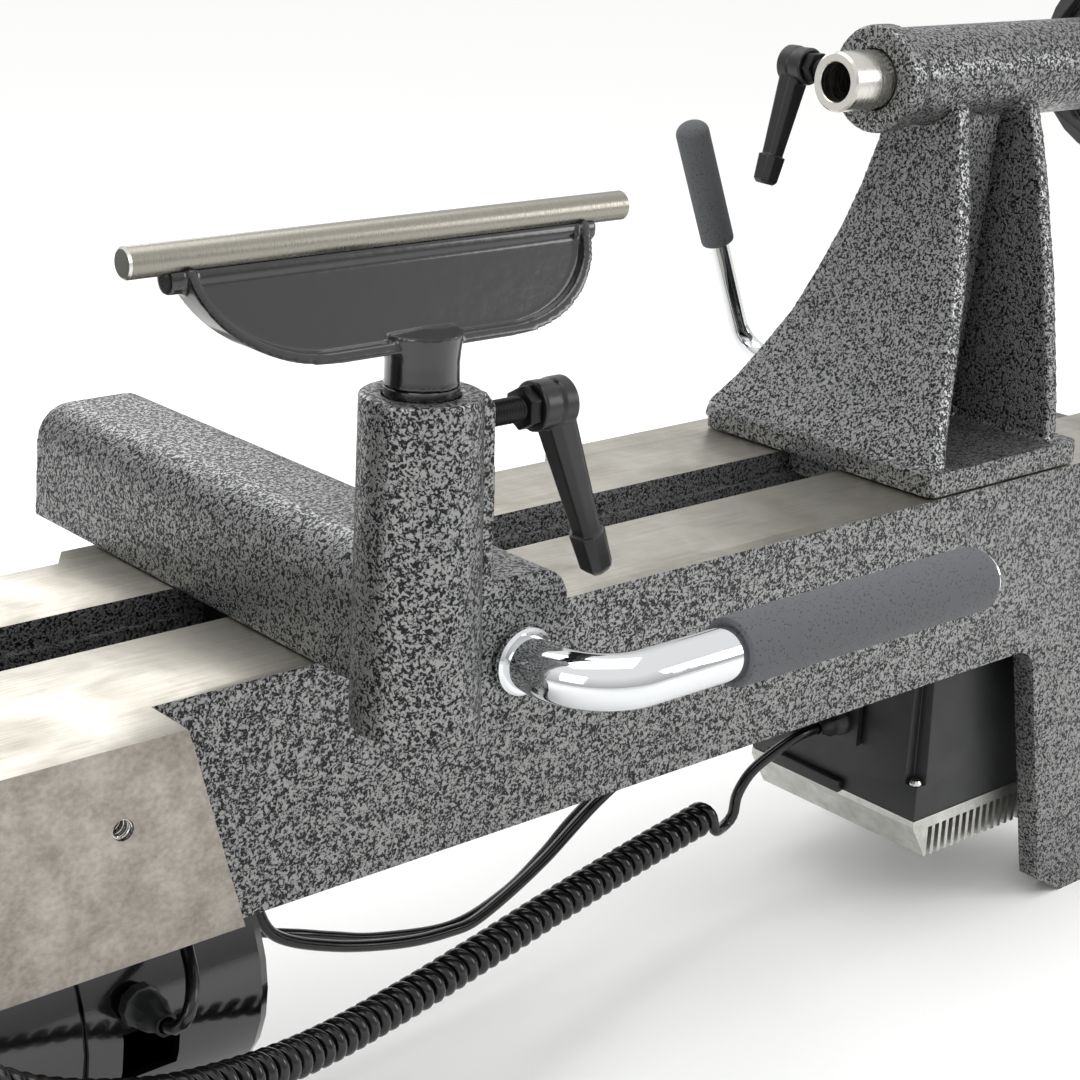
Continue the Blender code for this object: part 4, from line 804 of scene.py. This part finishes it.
@dataclass
class Headstock:
    """The head with its belt door, spindle, pulleys, belt, index ring and handwheel."""

    paint_edge: float = 1.2 * MM
    screw_radius: float = 3.0 * MM
    screw_places: tuple[tuple[float, float], ...] = (
        (-0.500, 0.0090), (-0.500, 0.1395), (-0.630, 0.0090), (-0.630, 0.1395))
    foot_top: float = 0.0140

    def build(self) -> None:
        """Dresses the head and everything that turns in it."""
        refine_all((
            ("headstock_casting", HAMMERED, self.paint_edge), ("belt_door", HAMMERED, 0.6 * MM),
            ("lower_belt_guard", HAMMERED, 0.8 * MM), ("spindle", TURNED_X, 0.0),
            ("door_hinge_pin", TURNED_X, 0.0), ("front_spindle_bearing", TURNED_X, 0.0),
            ("rear_spindle_bearing", TURNED_X, 0.0), ("index_ring", TURNED_X, 0.0),
            ("spindle_pulley", ALUMINIUM, 0.0), ("motor_pulley", ALUMINIUM, 0.0),
            ("motor_shaft", TURNED_X, 0.0), ("drive_belt", BELT, 0.4 * MM),
            ("index_pin", BLACK_OXIDE, 0.3 * MM), ("spindle_handwheel", REST_ENAMEL, 0.0)))
        self.cap_screws()

    def cap_screws(self) -> None:
        """Four socket-head screws that hold the head's foot to the bed."""
        for index, (x, y) in enumerate(self.screw_places):
            centre = at(x, y, self.foot_top)
            head = turned(f"head_screw_{index + 1}", [
                (0, 0.0045), (self.screw_radius - 0.0004, 0.0045), (self.screw_radius, 0.0041),
                (self.screw_radius, 0.0001), (0, 0.0001)], Axis.Z, centre, 32)
            socket = prism("socket", polygon(1.5 * MM, 6), Axis.Z, centre, (0.0022, 0.0060))
            finish_piece(cut_by(head, socket), "bed", BLACK_OXIDE)


@dataclass
class Motor:
    """The motor under the head, with its cowl, bracket and cable gland."""

    shell_end: float = -0.3430
    axis_height: float = -0.138
    screw_circle: float = 44 * MM

    def build(self) -> None:
        """Dresses the motor's shell and cowl and adds its case screws."""
        refine("motor_body", MOTOR_ENAMEL, 0.0)
        refine("motor_fan_cowl", MOTOR_ENAMEL, 0.0)
        refine("motor_cable_gland", CASE_ABS)
        dress(BLACK_OXIDE, "motor_bracket")
        for index in range(4):
            angle = math.pi / 4 + index * math.pi / 2
            across, up = self.screw_circle * math.cos(angle), self.screw_circle * math.sin(angle)
            place = at(self.shell_end, SLOT_Y + across, self.axis_height + up)
            head = turned(f"cowl_screw_{index + 1}", [
                (0, 0.0022), (0.0022, 0.0020), (0.0030, 0.0010), (0.0032, 0.0001), (0, 0.0001)],
                Axis.X, place, 28)
            finish_piece(head, "bed", TURNED_X)


# -----------------------------------------------------------------------------
# Levers and handles
# -----------------------------------------------------------------------------


@dataclass
class RatchetLever:
    """A ratchet clamping lever: threaded stud, hexagon, two-part hub and ridged nylon arm."""

    name: str
    axis: Axis
    hub: Triple
    arm_end: Triple
    reach: float
    thread_pitch: float = 1.25 * MM

    def build(self) -> None:
        """Makes the stud on its carrier body and the arm on its own."""
        self.stud()
        self.lever()

    def stud(self) -> None:
        """The black screw with its thread, nut and the bright screw end in the hub."""
        node = self.name + "_stud"
        centre = at(*self.hub)
        rod = threaded("finished_" + node, self.axis, centre, 4.5 * MM, 0.55 * MM, self.thread_pitch,
                       (-self.reach, -8.5 * MM))
        neck = turned("neck", [(0, 0.0138), (0.0025, 0.0138), (0.0025, -0.0088), (0, -0.0088)],
                      self.axis, centre, 32)
        nut = prism("nut", polygon(7.6 * MM, 6), self.axis, centre, (-10.0 * MM, -5.3 * MM), 0.5 * MM)
        finish_piece(joined(rod, neck, nut), body_of(node), BLACK_OXIDE, node)
        screw = turned(self.name + "_screw_head", [
            (0, 0.0146), (0.0028, 0.0144), (0.0034, 0.0136), (0.0034, 0.0108), (0, 0.0108)],
            self.axis, centre, 40)
        slot = prism("slot", [(-0.004, -0.0004), (0.004, -0.0004), (0.004, 0.0004), (-0.004, 0.0004)],
                     self.axis, centre, (0.0139, 0.0160))
        finish_piece(cut_by(screw, slot), body_of(self.name + "_lever"), BRASS)

    def lever(self) -> None:
        """The moulded arm, with a seam round its hub and a ridge down its length."""
        node = self.name + "_lever"
        centre = at(*self.hub)
        out = self.axis.value @ Vector((0, 0, 1))
        root, tip = centre + out * 0.0040, at(*self.arm_end)
        run = tip - root
        crest = [root + run * t + out * (0.0046 - 0.0010 * t) for t in (0.16, 0.4, 0.74)]
        ridge = swept("ridge", crest, 1.3 * MM, 16)
        rim = turned("rim", [(0.0074, 0.0100), (0.0090, 0.0092), (0.0090, 0.0036), (0.0082, 0.0030),
                             (0.0074, 0.0030)], self.axis, centre)
        skirt = turned("skirt", [(0.0062, 0.0022), (0.0086, 0.0018), (0.0088, -0.0044), (0.0080, -0.0050),
                                 (0.0062, -0.0050)], self.axis, centre)
        recast(node, LEVER_NYLON, 0.45 * MM, 2, ridge, rim, skirt)


@dataclass
class CrankedHandle:
    """A plated round bar bent once, with a foam sleeve on its end."""

    rod_node: str
    grip_node: str
    corners: tuple[Triple, ...]
    bend: float
    bar: float
    sleeve: float
    sleeve_from: float
    sleeve_past: float = 1.5 * MM

    def build(self, *extra: Piece) -> None:
        """Makes the bar with any extra plated pieces, and the sleeve over its end."""
        points = [at(*corner) for corner in self.corners]
        bar = swept("finished_" + self.rod_node, bent_path(points, self.bend), self.bar, 48)
        if extra:
            joined(bar, *extra)
        finish_piece(bar, body_of(self.rod_node), CHROME, self.rod_node)
        heading = (points[-1] - points[-2]).normalized()
        length = (points[-1] - points[-2]).length
        start, end = self.sleeve_from, length + self.sleeve_past + 3 * MM
        radius = self.sleeve
        rounding = [
            (radius * math.cos(a), end - radius * 0.75 * (1 - math.sin(a)))
            for a in (math.pi / 2 * step / 12 for step in range(12))
        ]
        lip = [(self.bar + 0.0001, start + 0.0006), (self.bar + 0.0010, start), (radius - 0.0012, start),
               (radius - 0.0003, start + 0.0005), (radius, start + 0.0016)]
        profile = [(0, start + 0.0009), *lip, *rounding, (0, end)]
        sleeve = turned("finished_" + self.grip_node, profile, Axis.Z, Vector((0, 0, 0)), 72)
        turn = Vector((0, 0, 1)).rotation_difference(heading).to_matrix().to_4x4()
        sleeve.data.transform(Matrix.Translation(points[-2]) @ turn)
        finish_piece(sleeve, body_of(self.grip_node), FOAM, self.grip_node)


# -----------------------------------------------------------------------------
# Banjo, tool rest and tailstock
# -----------------------------------------------------------------------------


@dataclass
class Banjo:
    """The tool-rest carrier: cast arm and post, its cam bar, handle and post lock."""

    post_y: float = -0.062
    cam_x: float = -0.302
    cam_z: float = 0.0165
    arm_front: float = -0.070
    grain: float = 0.9 * MM

    def build(self) -> None:
        """Makes the carrier and what is on it."""
        recast("banjo_casting", HAMMERED, self.grain, 6)
        collar = turned("collar", [
            (0.0080, -0.0003), (0.0112, -0.0003), (0.0122, -0.0012), (0.0122, -0.0030), (0.0112, -0.0040),
            (0.0096, -0.0043), (0.0080, -0.0043)], Axis.Y, at(self.cam_x, self.arm_front, self.cam_z))
        handle = CrankedHandle(
            "banjo_cam_rod", "banjo_grip",
            ((self.cam_x, 0.191, self.cam_z), (self.cam_x, -0.107, self.cam_z), (-0.101, -0.107, self.cam_z)),
            bend=24 * MM, bar=9.7 * MM, sleeve=12.8 * MM, sleeve_from=63 * MM, sleeve_past=-0.5 * MM)
        handle.build(collar)
        for node in ("banjo_clamp_bolt", "banjo_clamp_nut"):
            refine(node, BLACK_OXIDE, 0.3 * MM)
        refine("banjo_clamp_plate", BLACK_OXIDE, 0.8 * MM)
        RatchetLever("post_lock", Axis.X, (-0.2900, self.post_y, 0.1028), (-0.2610, self.post_y, 0.0385),
                     reach=0.0375).build()


@dataclass
class ToolRest:
    """The tool rest: a boat-shaped iron casting with a thick rim, a ground bar along it and a round stem."""

    post_x: float = -0.341
    post_y: float = -0.062
    bar_y: float = -0.045
    bar_z: float = 0.163
    bar_radius: float = 5.0 * MM
    rim: float = 3.2 * MM
    black_above: float = 0.1125

    def hull(self, inset: float, top: float) -> list[tuple[float, float]]:
        """The casting's outline in (x, z): flat at the bottom, two broad rounded corners."""
        flat, wide, tall = 0.035, 0.044 - inset, 0.0305 - inset
        quarter = [math.pi / 2 * step / 24 for step in range(25)]
        right = [(flat + wide * math.sin(a), top - tall * math.cos(a)) for a in quarter]
        right[-1] = (right[-1][0], 0.1600)
        return right + [(-u, v) for u, v in reversed(right)]

    def build(self) -> None:
        """Makes the casting, the bar and the stem."""
        centre = at(self.post_x, self.post_y, 0)
        outline = [(v, u) for u, v in self.hull(0.0, 0.160)]
        pocket = [(v, u) for u, v in self.hull(self.rim, 0.160)]
        web = prism("finished_tool_rest_casting", outline, Axis.Y, centre, (-0.0072, 0.0072))
        cut_by(web, prism("front", pocket, Axis.Y, centre, (-0.02, -0.0030)),
               prism("back", pocket, Axis.Y, centre, (0.0030, 0.02)))
        lean = (self.bar_y - self.post_y) / 0.031
        for vertex in web.data.vertices:
            vertex.co.y += lean * (vertex.co.z - DATUM.z - 0.126)
        rail = swept("rail", [at(x, self.bar_y, 0.1565) for x in (-0.4245, -0.3400, -0.2575)], 4.6 * MM, 24)
        neck = turned("neck", [(0, 0.1350), (0.0132, 0.1345), (0.0125, 0.1290), (0.0121, 0.1250),
                               (0.0122, 0.1190), (0.0126, 0.1172), (0, 0.1172)], Axis.Z, centre)
        joined(web, rail, neck)
        cast_surface(web, 0.7 * MM, 4)
        line = [at(x, self.bar_y, self.bar_z) for x in (-0.6, -0.1)]
        groove = swept("groove", line, 5.2 * MM, 48)
        cut_by(web, groove)
        finish_piece(web, "tool_rest", REST_ENAMEL, "tool_rest_casting")
        self.bar()
        stem = turned("finished_tool_rest_stem", [
            (0, 0.1171), (0.0122, 0.1171), (0.0125, 0.1168), (0.0125, self.black_above), (0.0125, 0.0130),
            (0.0115, 0.0120), (0, 0.0120)], Axis.Z, centre)
        paint_faces(stem, (TURNED_Z, REST_ENAMEL), lambda middle, normal: int(middle.z > self.black_above))
        finish_piece(stem, "rest_stem", TURNED_Z, "tool_rest_stem")

    def bar(self) -> None:
        """The ground bar, chamfered and faced at its ends."""
        low, high = -0.4385, -0.2425
        radius, chamfer = self.bar_radius, 0.7 * MM
        bar = turned("finished_tool_rest_bar", [
            (0, high), (radius - chamfer, high), (radius, high - chamfer), (radius, low + chamfer),
            (radius - chamfer, low), (0, low)], Axis.X, at(0, self.bar_y, self.bar_z))
        paint_faces(bar, (SATIN_BAR, BAR_END), lambda middle, normal: int(abs(normal.x) > 0.3))
        finish_piece(bar, "tool_rest", SATIN_BAR, "tool_rest_bar")


@dataclass
class Tailstock:
    """The tailstock with its quill, feed screw, handwheel, cam handle and quill lock."""

    grain: float = 1.0 * MM
    cam: tuple[float, float] = (0.062, 0.024)
    lean: float = 22.0
    quill_radius: float = 13.5 * MM
    quill_tip: float = -0.002
    bore: float = 8.89 * MM
    taper: float = 0.025

    def build(self) -> None:
        """Makes the tailstock and all that slides and turns in it."""
        recast("tailstock_casting", HAMMERED, self.grain, 5)
        self.quill()
        refine("quill_leadscrew", TURNED_X)
        refine("tailstock_handwheel", REST_ENAMEL)
        refine("crank_pin", TURNED_X)
        refine("crank_handle", LEVER_NYLON)
        for node in ("tailstock_clamp_bolt", "tailstock_clamp_nut"):
            refine(node, BLACK_OXIDE, 0.3 * MM)
        refine("tailstock_clamp_plate", BLACK_OXIDE, 0.8 * MM)
        self.handle()
        RatchetLever("quill_lock", Axis.Y, (0.0315, 0.1265, CENTRE_HEIGHT), (0.0170, 0.1330, 0.1220),
                     reach=0.0360).build()

    def quill(self) -> None:
        """The quill: a turned tube with a tapered socket and a keyway along it."""
        r, tip, end = self.quill_radius, self.quill_tip, 0.1700
        taper_end = tip + 0.064
        small = self.bore - self.taper * 0.064
        profile = [
            (self.bore + 0.0004, tip), (r - 0.0010, tip), (r, tip + 0.0010), (r, end - 0.0006),
            (r - 0.0006, end), (0.0068, end), (0.0068, 0.1500), (0.0073, 0.1480), (0.0073, taper_end),
            (small, taper_end - 0.0006), (self.bore, tip + 0.0005)]
        quill = turned("finished_quill", profile, Axis.X, at(0, SLOT_Y, CENTRE_HEIGHT), 96)
        corners = ((-0.002, -0.001), (0.002, -0.001), (0.002, 0.002), (-0.002, 0.002))
        groove = [(u, -r + v) for u, v in corners]
        keyway = prism("keyway", groove, Axis.X, at(0, SLOT_Y, CENTRE_HEIGHT), (0.016, 0.160))
        finish_piece(cut_by(quill, keyway), "quill", TURNED_X, "quill")

    def handle(self) -> None:
        """The cam bar that crosses the foot, and its handle, leaning back at rest."""
        x, z = self.cam
        lean = math.radians(self.lean)
        up = Vector((-math.sin(lean), 0, math.cos(lean)))
        corner = Vector((x, 0.182, z))
        top = corner + up * 0.128
        shaft = turned("shaft", [(0, 0.1620), (0.0074, 0.1620), (0.0080, 0.1614), (0.0080, 0.0665),
                                 (0, 0.0665)], Axis.Y, at(x, 0, z))
        handle = CrankedHandle(
            "tailstock_cam_rod", "tailstock_grip", ((x, 0.150, z), tuple(corner), tuple(top)),
            bend=16 * MM, bar=5.2 * MM, sleeve=8.4 * MM, sleeve_from=64 * MM, sleeve_past=0.0)
        handle.build(shaft)


# -----------------------------------------------------------------------------
# Control box, remote control and cords
# -----------------------------------------------------------------------------


@dataclass
class ControlBox:
    """The drive's box under the bed: moulded case over a finned heat sink, glands and mains inlet."""

    left: float = 0.036
    front: float = 0.020
    ledge: float = -0.160

    def build(self) -> None:
        """Dresses the box and adds its lid screw and foot bar."""
        refine("inverter_housing", CASE_ABS, 0.7 * MM)
        dress(ALUMINIUM, "inverter_heat_sink")
        dress(BLACK_OXIDE, "inverter_bracket")
        refine("cable_gland_plate", CASE_ABS, 0.0)
        refine("mains_inlet", CASE_ABS, 0.4 * MM)
        corner = at(self.left + 0.0037, self.front + 0.0042, self.ledge)
        screw = turned("lid_screw", [(0, 0.0026), (0.0022, 0.0024), (0.0031, 0.0012), (0.0031, 0.0002),
                                     (0, 0.0002)], Axis.Z, corner, 36)
        recess = [prism("recess", outline, Axis.Z, corner, (0.0014, 0.0040)) for outline in (
            [(-0.0018, -0.0003), (0.0018, -0.0003), (0.0018, 0.0003), (-0.0018, 0.0003)],
            [(-0.0003, -0.0018), (0.0003, -0.0018), (0.0003, 0.0018), (-0.0003, 0.0018)])]
        finish_piece(cut_by(screw, *recess), "bed", TURNED_X)
        bar = prism("case_foot_bar", [(0.067, -0.1790), (0.118, -0.1790), (0.118, -0.1725), (0.067, -0.1725)],
                    Axis.X, at(0, 0, 0), (self.left - 0.0040, self.left - 0.0002), 0.8 * MM)
        finish_piece(bar, "bed", CASE_ABS)


@dataclass
class Remote:
    """The hand-held remote: housing, display, buttons, rocker and speed knob with its marks."""

    x: float = -0.575
    face: float = -0.0153
    knob_z: float = 0.060
    marks: int = 11
    sweep: float = 270.0

    def build(self) -> None:
        """Dresses the remote and prints the marks round its knob."""
        refine("remote_housing", CASE_ABS, 1.2 * MM)
        dress(GLASS, "remote_display")
        refine("start_button", GREEN, 0.4 * MM)
        refine("stop_button", RED, 0.4 * MM)
        refine("direction_rocker", LEVER_NYLON, 0.5 * MM)
        refine("speed_knob", LEVER_NYLON, 0.3 * MM)
        refine("remote_strain_relief", SHEATH)
        ticks = []
        for index in range(self.marks):
            angle = math.radians(-self.sweep / 2 + self.sweep * index / (self.marks - 1))
            way = Vector((math.sin(angle), 0, math.cos(angle)))
            start, end = 0.0142, 0.0172 if index % 5 == 0 else 0.0160
            middle = at(self.x, self.face - 0.00005, self.knob_z)
            ticks.append(swept("tick", [middle + way * start, middle + way * end], 0.28 * MM, 8))
        marks = joined(ticks[0], *ticks[1:])
        marks.name = marks.data.name = "speed_marks"
        finish_piece(marks, "bed", WHITE_MARK)


@dataclass
class Cords:
    """The drive's two plain cables and the remote's curly cord, at their real lengths."""

    motor_knots: tuple[Triple, ...] = (
        (-0.4020, -0.0015, -0.1230), (-0.4005, -0.0065, -0.1215), (-0.3965, -0.0080, -0.1150),
        (-0.3910, -0.0010, -0.1075), (-0.3850, 0.0130, -0.1010), (-0.3770, 0.0270, -0.0940),
        (-0.3670, 0.0410, -0.0850), (-0.3550, 0.0550, -0.0785), (-0.3410, 0.0640, -0.0795),
        (-0.3300, 0.0700, -0.0915), (-0.3215, 0.0740, -0.1110), (-0.3140, 0.0770, -0.1320),
        (-0.3030, 0.0780, -0.1543), (-0.2720, 0.0800, -0.1708), (-0.2343, 0.0820, -0.1828),
        (-0.2060, 0.0838, -0.1875), (-0.1865, 0.0850, -0.1868), (-0.1499, 0.0870, -0.1722),
        (-0.1112, 0.0900, -0.1513), (-0.0700, 0.0920, -0.1350), (-0.0300, 0.0935, -0.1250),
        (0.0000, 0.0940, -0.1222), (0.0151, 0.0940, -0.1220))
    brake_knots: tuple[Triple, ...] = (
        (-0.3258, 0.1040, -0.1600), (-0.3150, 0.1035, -0.1605), (-0.3000, 0.1000, -0.1640),
        (-0.2772, 0.0965, -0.1707), (-0.2600, 0.0970, -0.1776), (-0.2342, 0.0980, -0.1870),
        (-0.1917, 0.1000, -0.1960), (-0.1588, 0.1020, -0.1906), (-0.1331, 0.1040, -0.1784),
        (-0.1119, 0.1060, -0.1655), (-0.0650, 0.1090, -0.1420), (-0.0300, 0.1112, -0.1300),
        (0.0000, 0.1120, -0.1263), (0.0151, 0.1120, -0.1260))
    box_lead_knots: tuple[Triple, ...] = (
        (0.0151, 0.0700, -0.1400), (0.0020, 0.0707, -0.1415), (-0.0140, 0.0728, -0.1480),
        (-0.0260, 0.0742, -0.1550), (-0.0330, 0.0752, -0.1650), (-0.0345, 0.0758, -0.1755),
        (-0.0395, 0.0762, -0.1800))
    coil_knots: tuple[Triple, ...] = (
        (-0.0548, 0.0760, -0.1709), (-0.1060, 0.0660, -0.1712), (-0.1698, 0.0520, -0.1716),
        (-0.2280, 0.0375, -0.1714), (-0.2792, 0.0230, -0.1688), (-0.3330, 0.0040, -0.1603),
        (-0.3816, -0.0140, -0.1465), (-0.4300, -0.0300, -0.1280), (-0.4800, -0.0420, -0.1010),
        (-0.5150, -0.0450, -0.0700), (-0.5350, -0.0430, -0.0420))
    hand_lead_knots: tuple[Triple, ...] = (
        (-0.5440, -0.0415, -0.0280), (-0.5540, -0.0380, -0.0130), (-0.5640, -0.0315, 0.0005),
        (-0.5700, -0.0215, 0.0075), (-0.5738, -0.0105, 0.0095), (-0.5749, -0.0040, 0.0122),
        (-0.5750, -0.0010, 0.0172))
    coil_outside: float = 16.5 * MM
    coil_cord: float = 5.5 * MM
    coil_pitch: float = 7.8 * MM
    turn_points: int = 18

    def cable(self, name: str, route: Sequence[Vector], diameter: float) -> Piece:
        """A round cord as a curve along a route."""
        curve = bpy.data.curves.new(name, "CURVE")
        curve.dimensions = "3D"
        curve.bevel_depth = diameter / 2
        curve.bevel_resolution = 5
        curve.use_fill_caps = True
        spline = curve.splines.new("POLY")
        spline.points.add(len(route) - 1)
        for point, place in zip(spline.points, route):
            point.co = (*place, 1)
        spline.use_smooth = True
        made = bpy.data.objects.new(name, curve)
        bpy.context.scene.collection.objects.link(made)
        return made

    def helix(self) -> list[Vector]:
        """The curly stretch: a helix round the coil's own line, at its full radius from end to end."""
        line = smooth_route([at(*knot) for knot in self.coil_knots], self.coil_pitch / self.turn_points)
        radius = (self.coil_outside - self.coil_cord) / 2
        heading = (line[1] - line[0]).normalized()
        across = Vector((0, 0, 1)).cross(heading).normalized()
        points = []
        for index, point in enumerate(line):
            before, after = line[max(index - 1, 0)], line[min(index + 1, len(line) - 1)]
            turn = heading.rotation_difference((after - before).normalized())
            heading, across = turn @ heading, turn @ across
            up = heading.cross(across)
            angle = 2 * math.pi * index / self.turn_points
            points.append(point + radius * (across * math.cos(angle) + up * math.sin(angle)))
        return points

    def build(self) -> None:
        """Lays the three cords."""
        motor = smooth_route([at(*knot) for knot in self.motor_knots], 4 * MM)
        brake = smooth_route([at(*knot) for knot in self.brake_knots], 4 * MM)
        helix = self.helix()
        box_run = (helix[0] - helix[1]).normalized() * 6 * MM
        hand_run = (helix[-1] - helix[-2]).normalized() * 6 * MM
        box_knots = [at(*knot) for knot in self.box_lead_knots]
        hand_knots = [at(*knot) for knot in self.hand_lead_knots]
        box_lead = smooth_route([*box_knots, helix[0] + box_run, helix[0]], 2.5 * MM)
        hand_lead = smooth_route([helix[-1], helix[-1] + hand_run, *hand_knots], 2.5 * MM)
        remote = [*box_lead[:-1], *helix, *hand_lead[1:]]
        for name, route, diameter, replaced in (
            ("motor_cord", motor, 5.2 * MM, ("motor_cable",)),
            ("brake_cord", brake, 4.4 * MM, ("brake_cable",)),
            ("remote_curly_cord", remote, self.coil_cord,
             ("remote_coil", "remote_lead_box_end", "remote_lead_hand_end")),
        ):
            cord = finish_piece(self.cable(name, route, diameter), "bed", SHEATH, *replaced)


# -----------------------------------------------------------------------------
# Room, light and camera
# -----------------------------------------------------------------------------


@dataclass
class Studio:
    """A pale floor, soft lights and the camera."""

    camera_place: Triple = (-0.7613, -0.6009, 0.2974)
    heading: float = 41.27
    fall: float = 18.71
    roll: float = 2.286
    lens: float = 73.813
    sensor: float = 36.0
    lights: tuple[tuple[str, Triple, Triple, float, float], ...] = (
        ("overhead_softbox", (0.1, 0.2, 1.9), (0.0, 0.0, 0.2), 1.6, 14.0),
        ("left_softbox", (-1.6, -0.6, 1.0), (0.0, 0.0, 0.2), 0.9, 7.0),
        ("right_softbox", (1.5, -1.3, 0.9), (0.1, 0.0, 0.25), 0.8, 9.0),
        ("back_softbox", (0.6, 1.8, 1.2), (0.0, 0.0, 0.2), 1.0, 6.0),
    )

    def build(self) -> None:
        """Sets up the room."""
        bpy.context.scene.view_settings.view_transform = "Standard"
        self.room()
        self.shine()
        self.camera()

    def room(self) -> None:
        """The floor and the air round it."""
        mesh = bpy.data.meshes.new("pale_floor")
        work = bmesh.new()
        bmesh.ops.create_grid(work, x_segments=1, y_segments=1, size=12.0)
        work.to_mesh(mesh)
        work.free()
        floor = new_piece("pale_floor", mesh)
        paper = Finish("matt_white_paper", "black_plastic", "#FCFCFB", 0.0, 0.9)
        floor.data.materials.append(paper.build())
        world = bpy.data.worlds.new("studio_air")
        bpy.context.scene.world = world
        world.use_nodes = True
        tree = world.node_tree
        output = tree.nodes["World Output"]
        lamp = tree.nodes["Background"]
        lamp.inputs["Color"].default_value = (1, 1, 1, 1)
        way = add(tree, "TexCoord", {}, {}).outputs["Generated"]
        height = add(tree, "SeparateXYZ", {}, {0: way}).outputs[2]
        glow = add(tree, "MapRange", {}, {"Value": height, "From Min": 0.0, "From Max": 0.6, "To Min": 0.55,
                                          "To Max": 1.05}).outputs["Result"]
        tree.links.new(glow, lamp.inputs["Strength"])
        white = add(tree, "Background", {}, {"Color": (1, 1, 1, 1), "Strength": 1.0}).outputs[0]
        seen = add(tree, "LightPath", {}, {}).outputs["Is Camera Ray"]
        mixed = add(tree, "MixShader", {}, {0: seen, 1: lamp.outputs[0], 2: white}).outputs[0]
        tree.links.new(mixed, output.inputs["Surface"])

    def shine(self) -> None:
        """The soft lights, each aimed at the machine."""
        for name, place, aim, size, power in self.lights:
            lamp = bpy.data.lights.new(name, "AREA")
            lamp.shape = "SQUARE"
            lamp.size = size
            lamp.energy = power
            made = bpy.data.objects.new(name, lamp)
            made.location = place
            made.rotation_euler = (Vector(aim) - Vector(place)).to_track_quat("-Z", "Y").to_euler()
            bpy.context.scene.collection.objects.link(made)

    def camera(self) -> None:
        """The camera, looking down along the bed from the operator's left."""
        az, el, roll = (math.radians(v) for v in (self.heading, self.fall, self.roll))
        ahead = Vector((math.sin(az) * math.cos(el), math.cos(az) * math.cos(el), -math.sin(el)))
        right = Vector((math.cos(az), -math.sin(az), 0))
        up = right.cross(ahead)
        across = right * math.cos(roll) + up * math.sin(roll)
        above = up * math.cos(roll) - right * math.sin(roll)
        data = bpy.data.cameras.new("camera")
        data.lens = self.lens
        data.sensor_width = self.sensor
        data.clip_start = 0.01
        made = bpy.data.objects.new("camera", data)
        turn = Matrix((across, above, -ahead)).transposed()
        made.matrix_world = Matrix.Translation(at(*self.camera_place)) @ turn.to_4x4()
        bpy.context.scene.collection.objects.link(made)
        bpy.context.scene.camera = made


def main() -> None:
    """Builds the machine's looks in order."""
    logging.basicConfig(level=logging.INFO, format="%(message)s")
    Studio().build()
    for assembly in (
        Cords(), Bed(), Headstock(), Motor(), Banjo(), ToolRest(), Tailstock(), ControlBox(), Remote(),
    ):
        assembly.build()
        LOG.info("%s done", type(assembly).__name__)


if __name__ == "__main__":
    main()
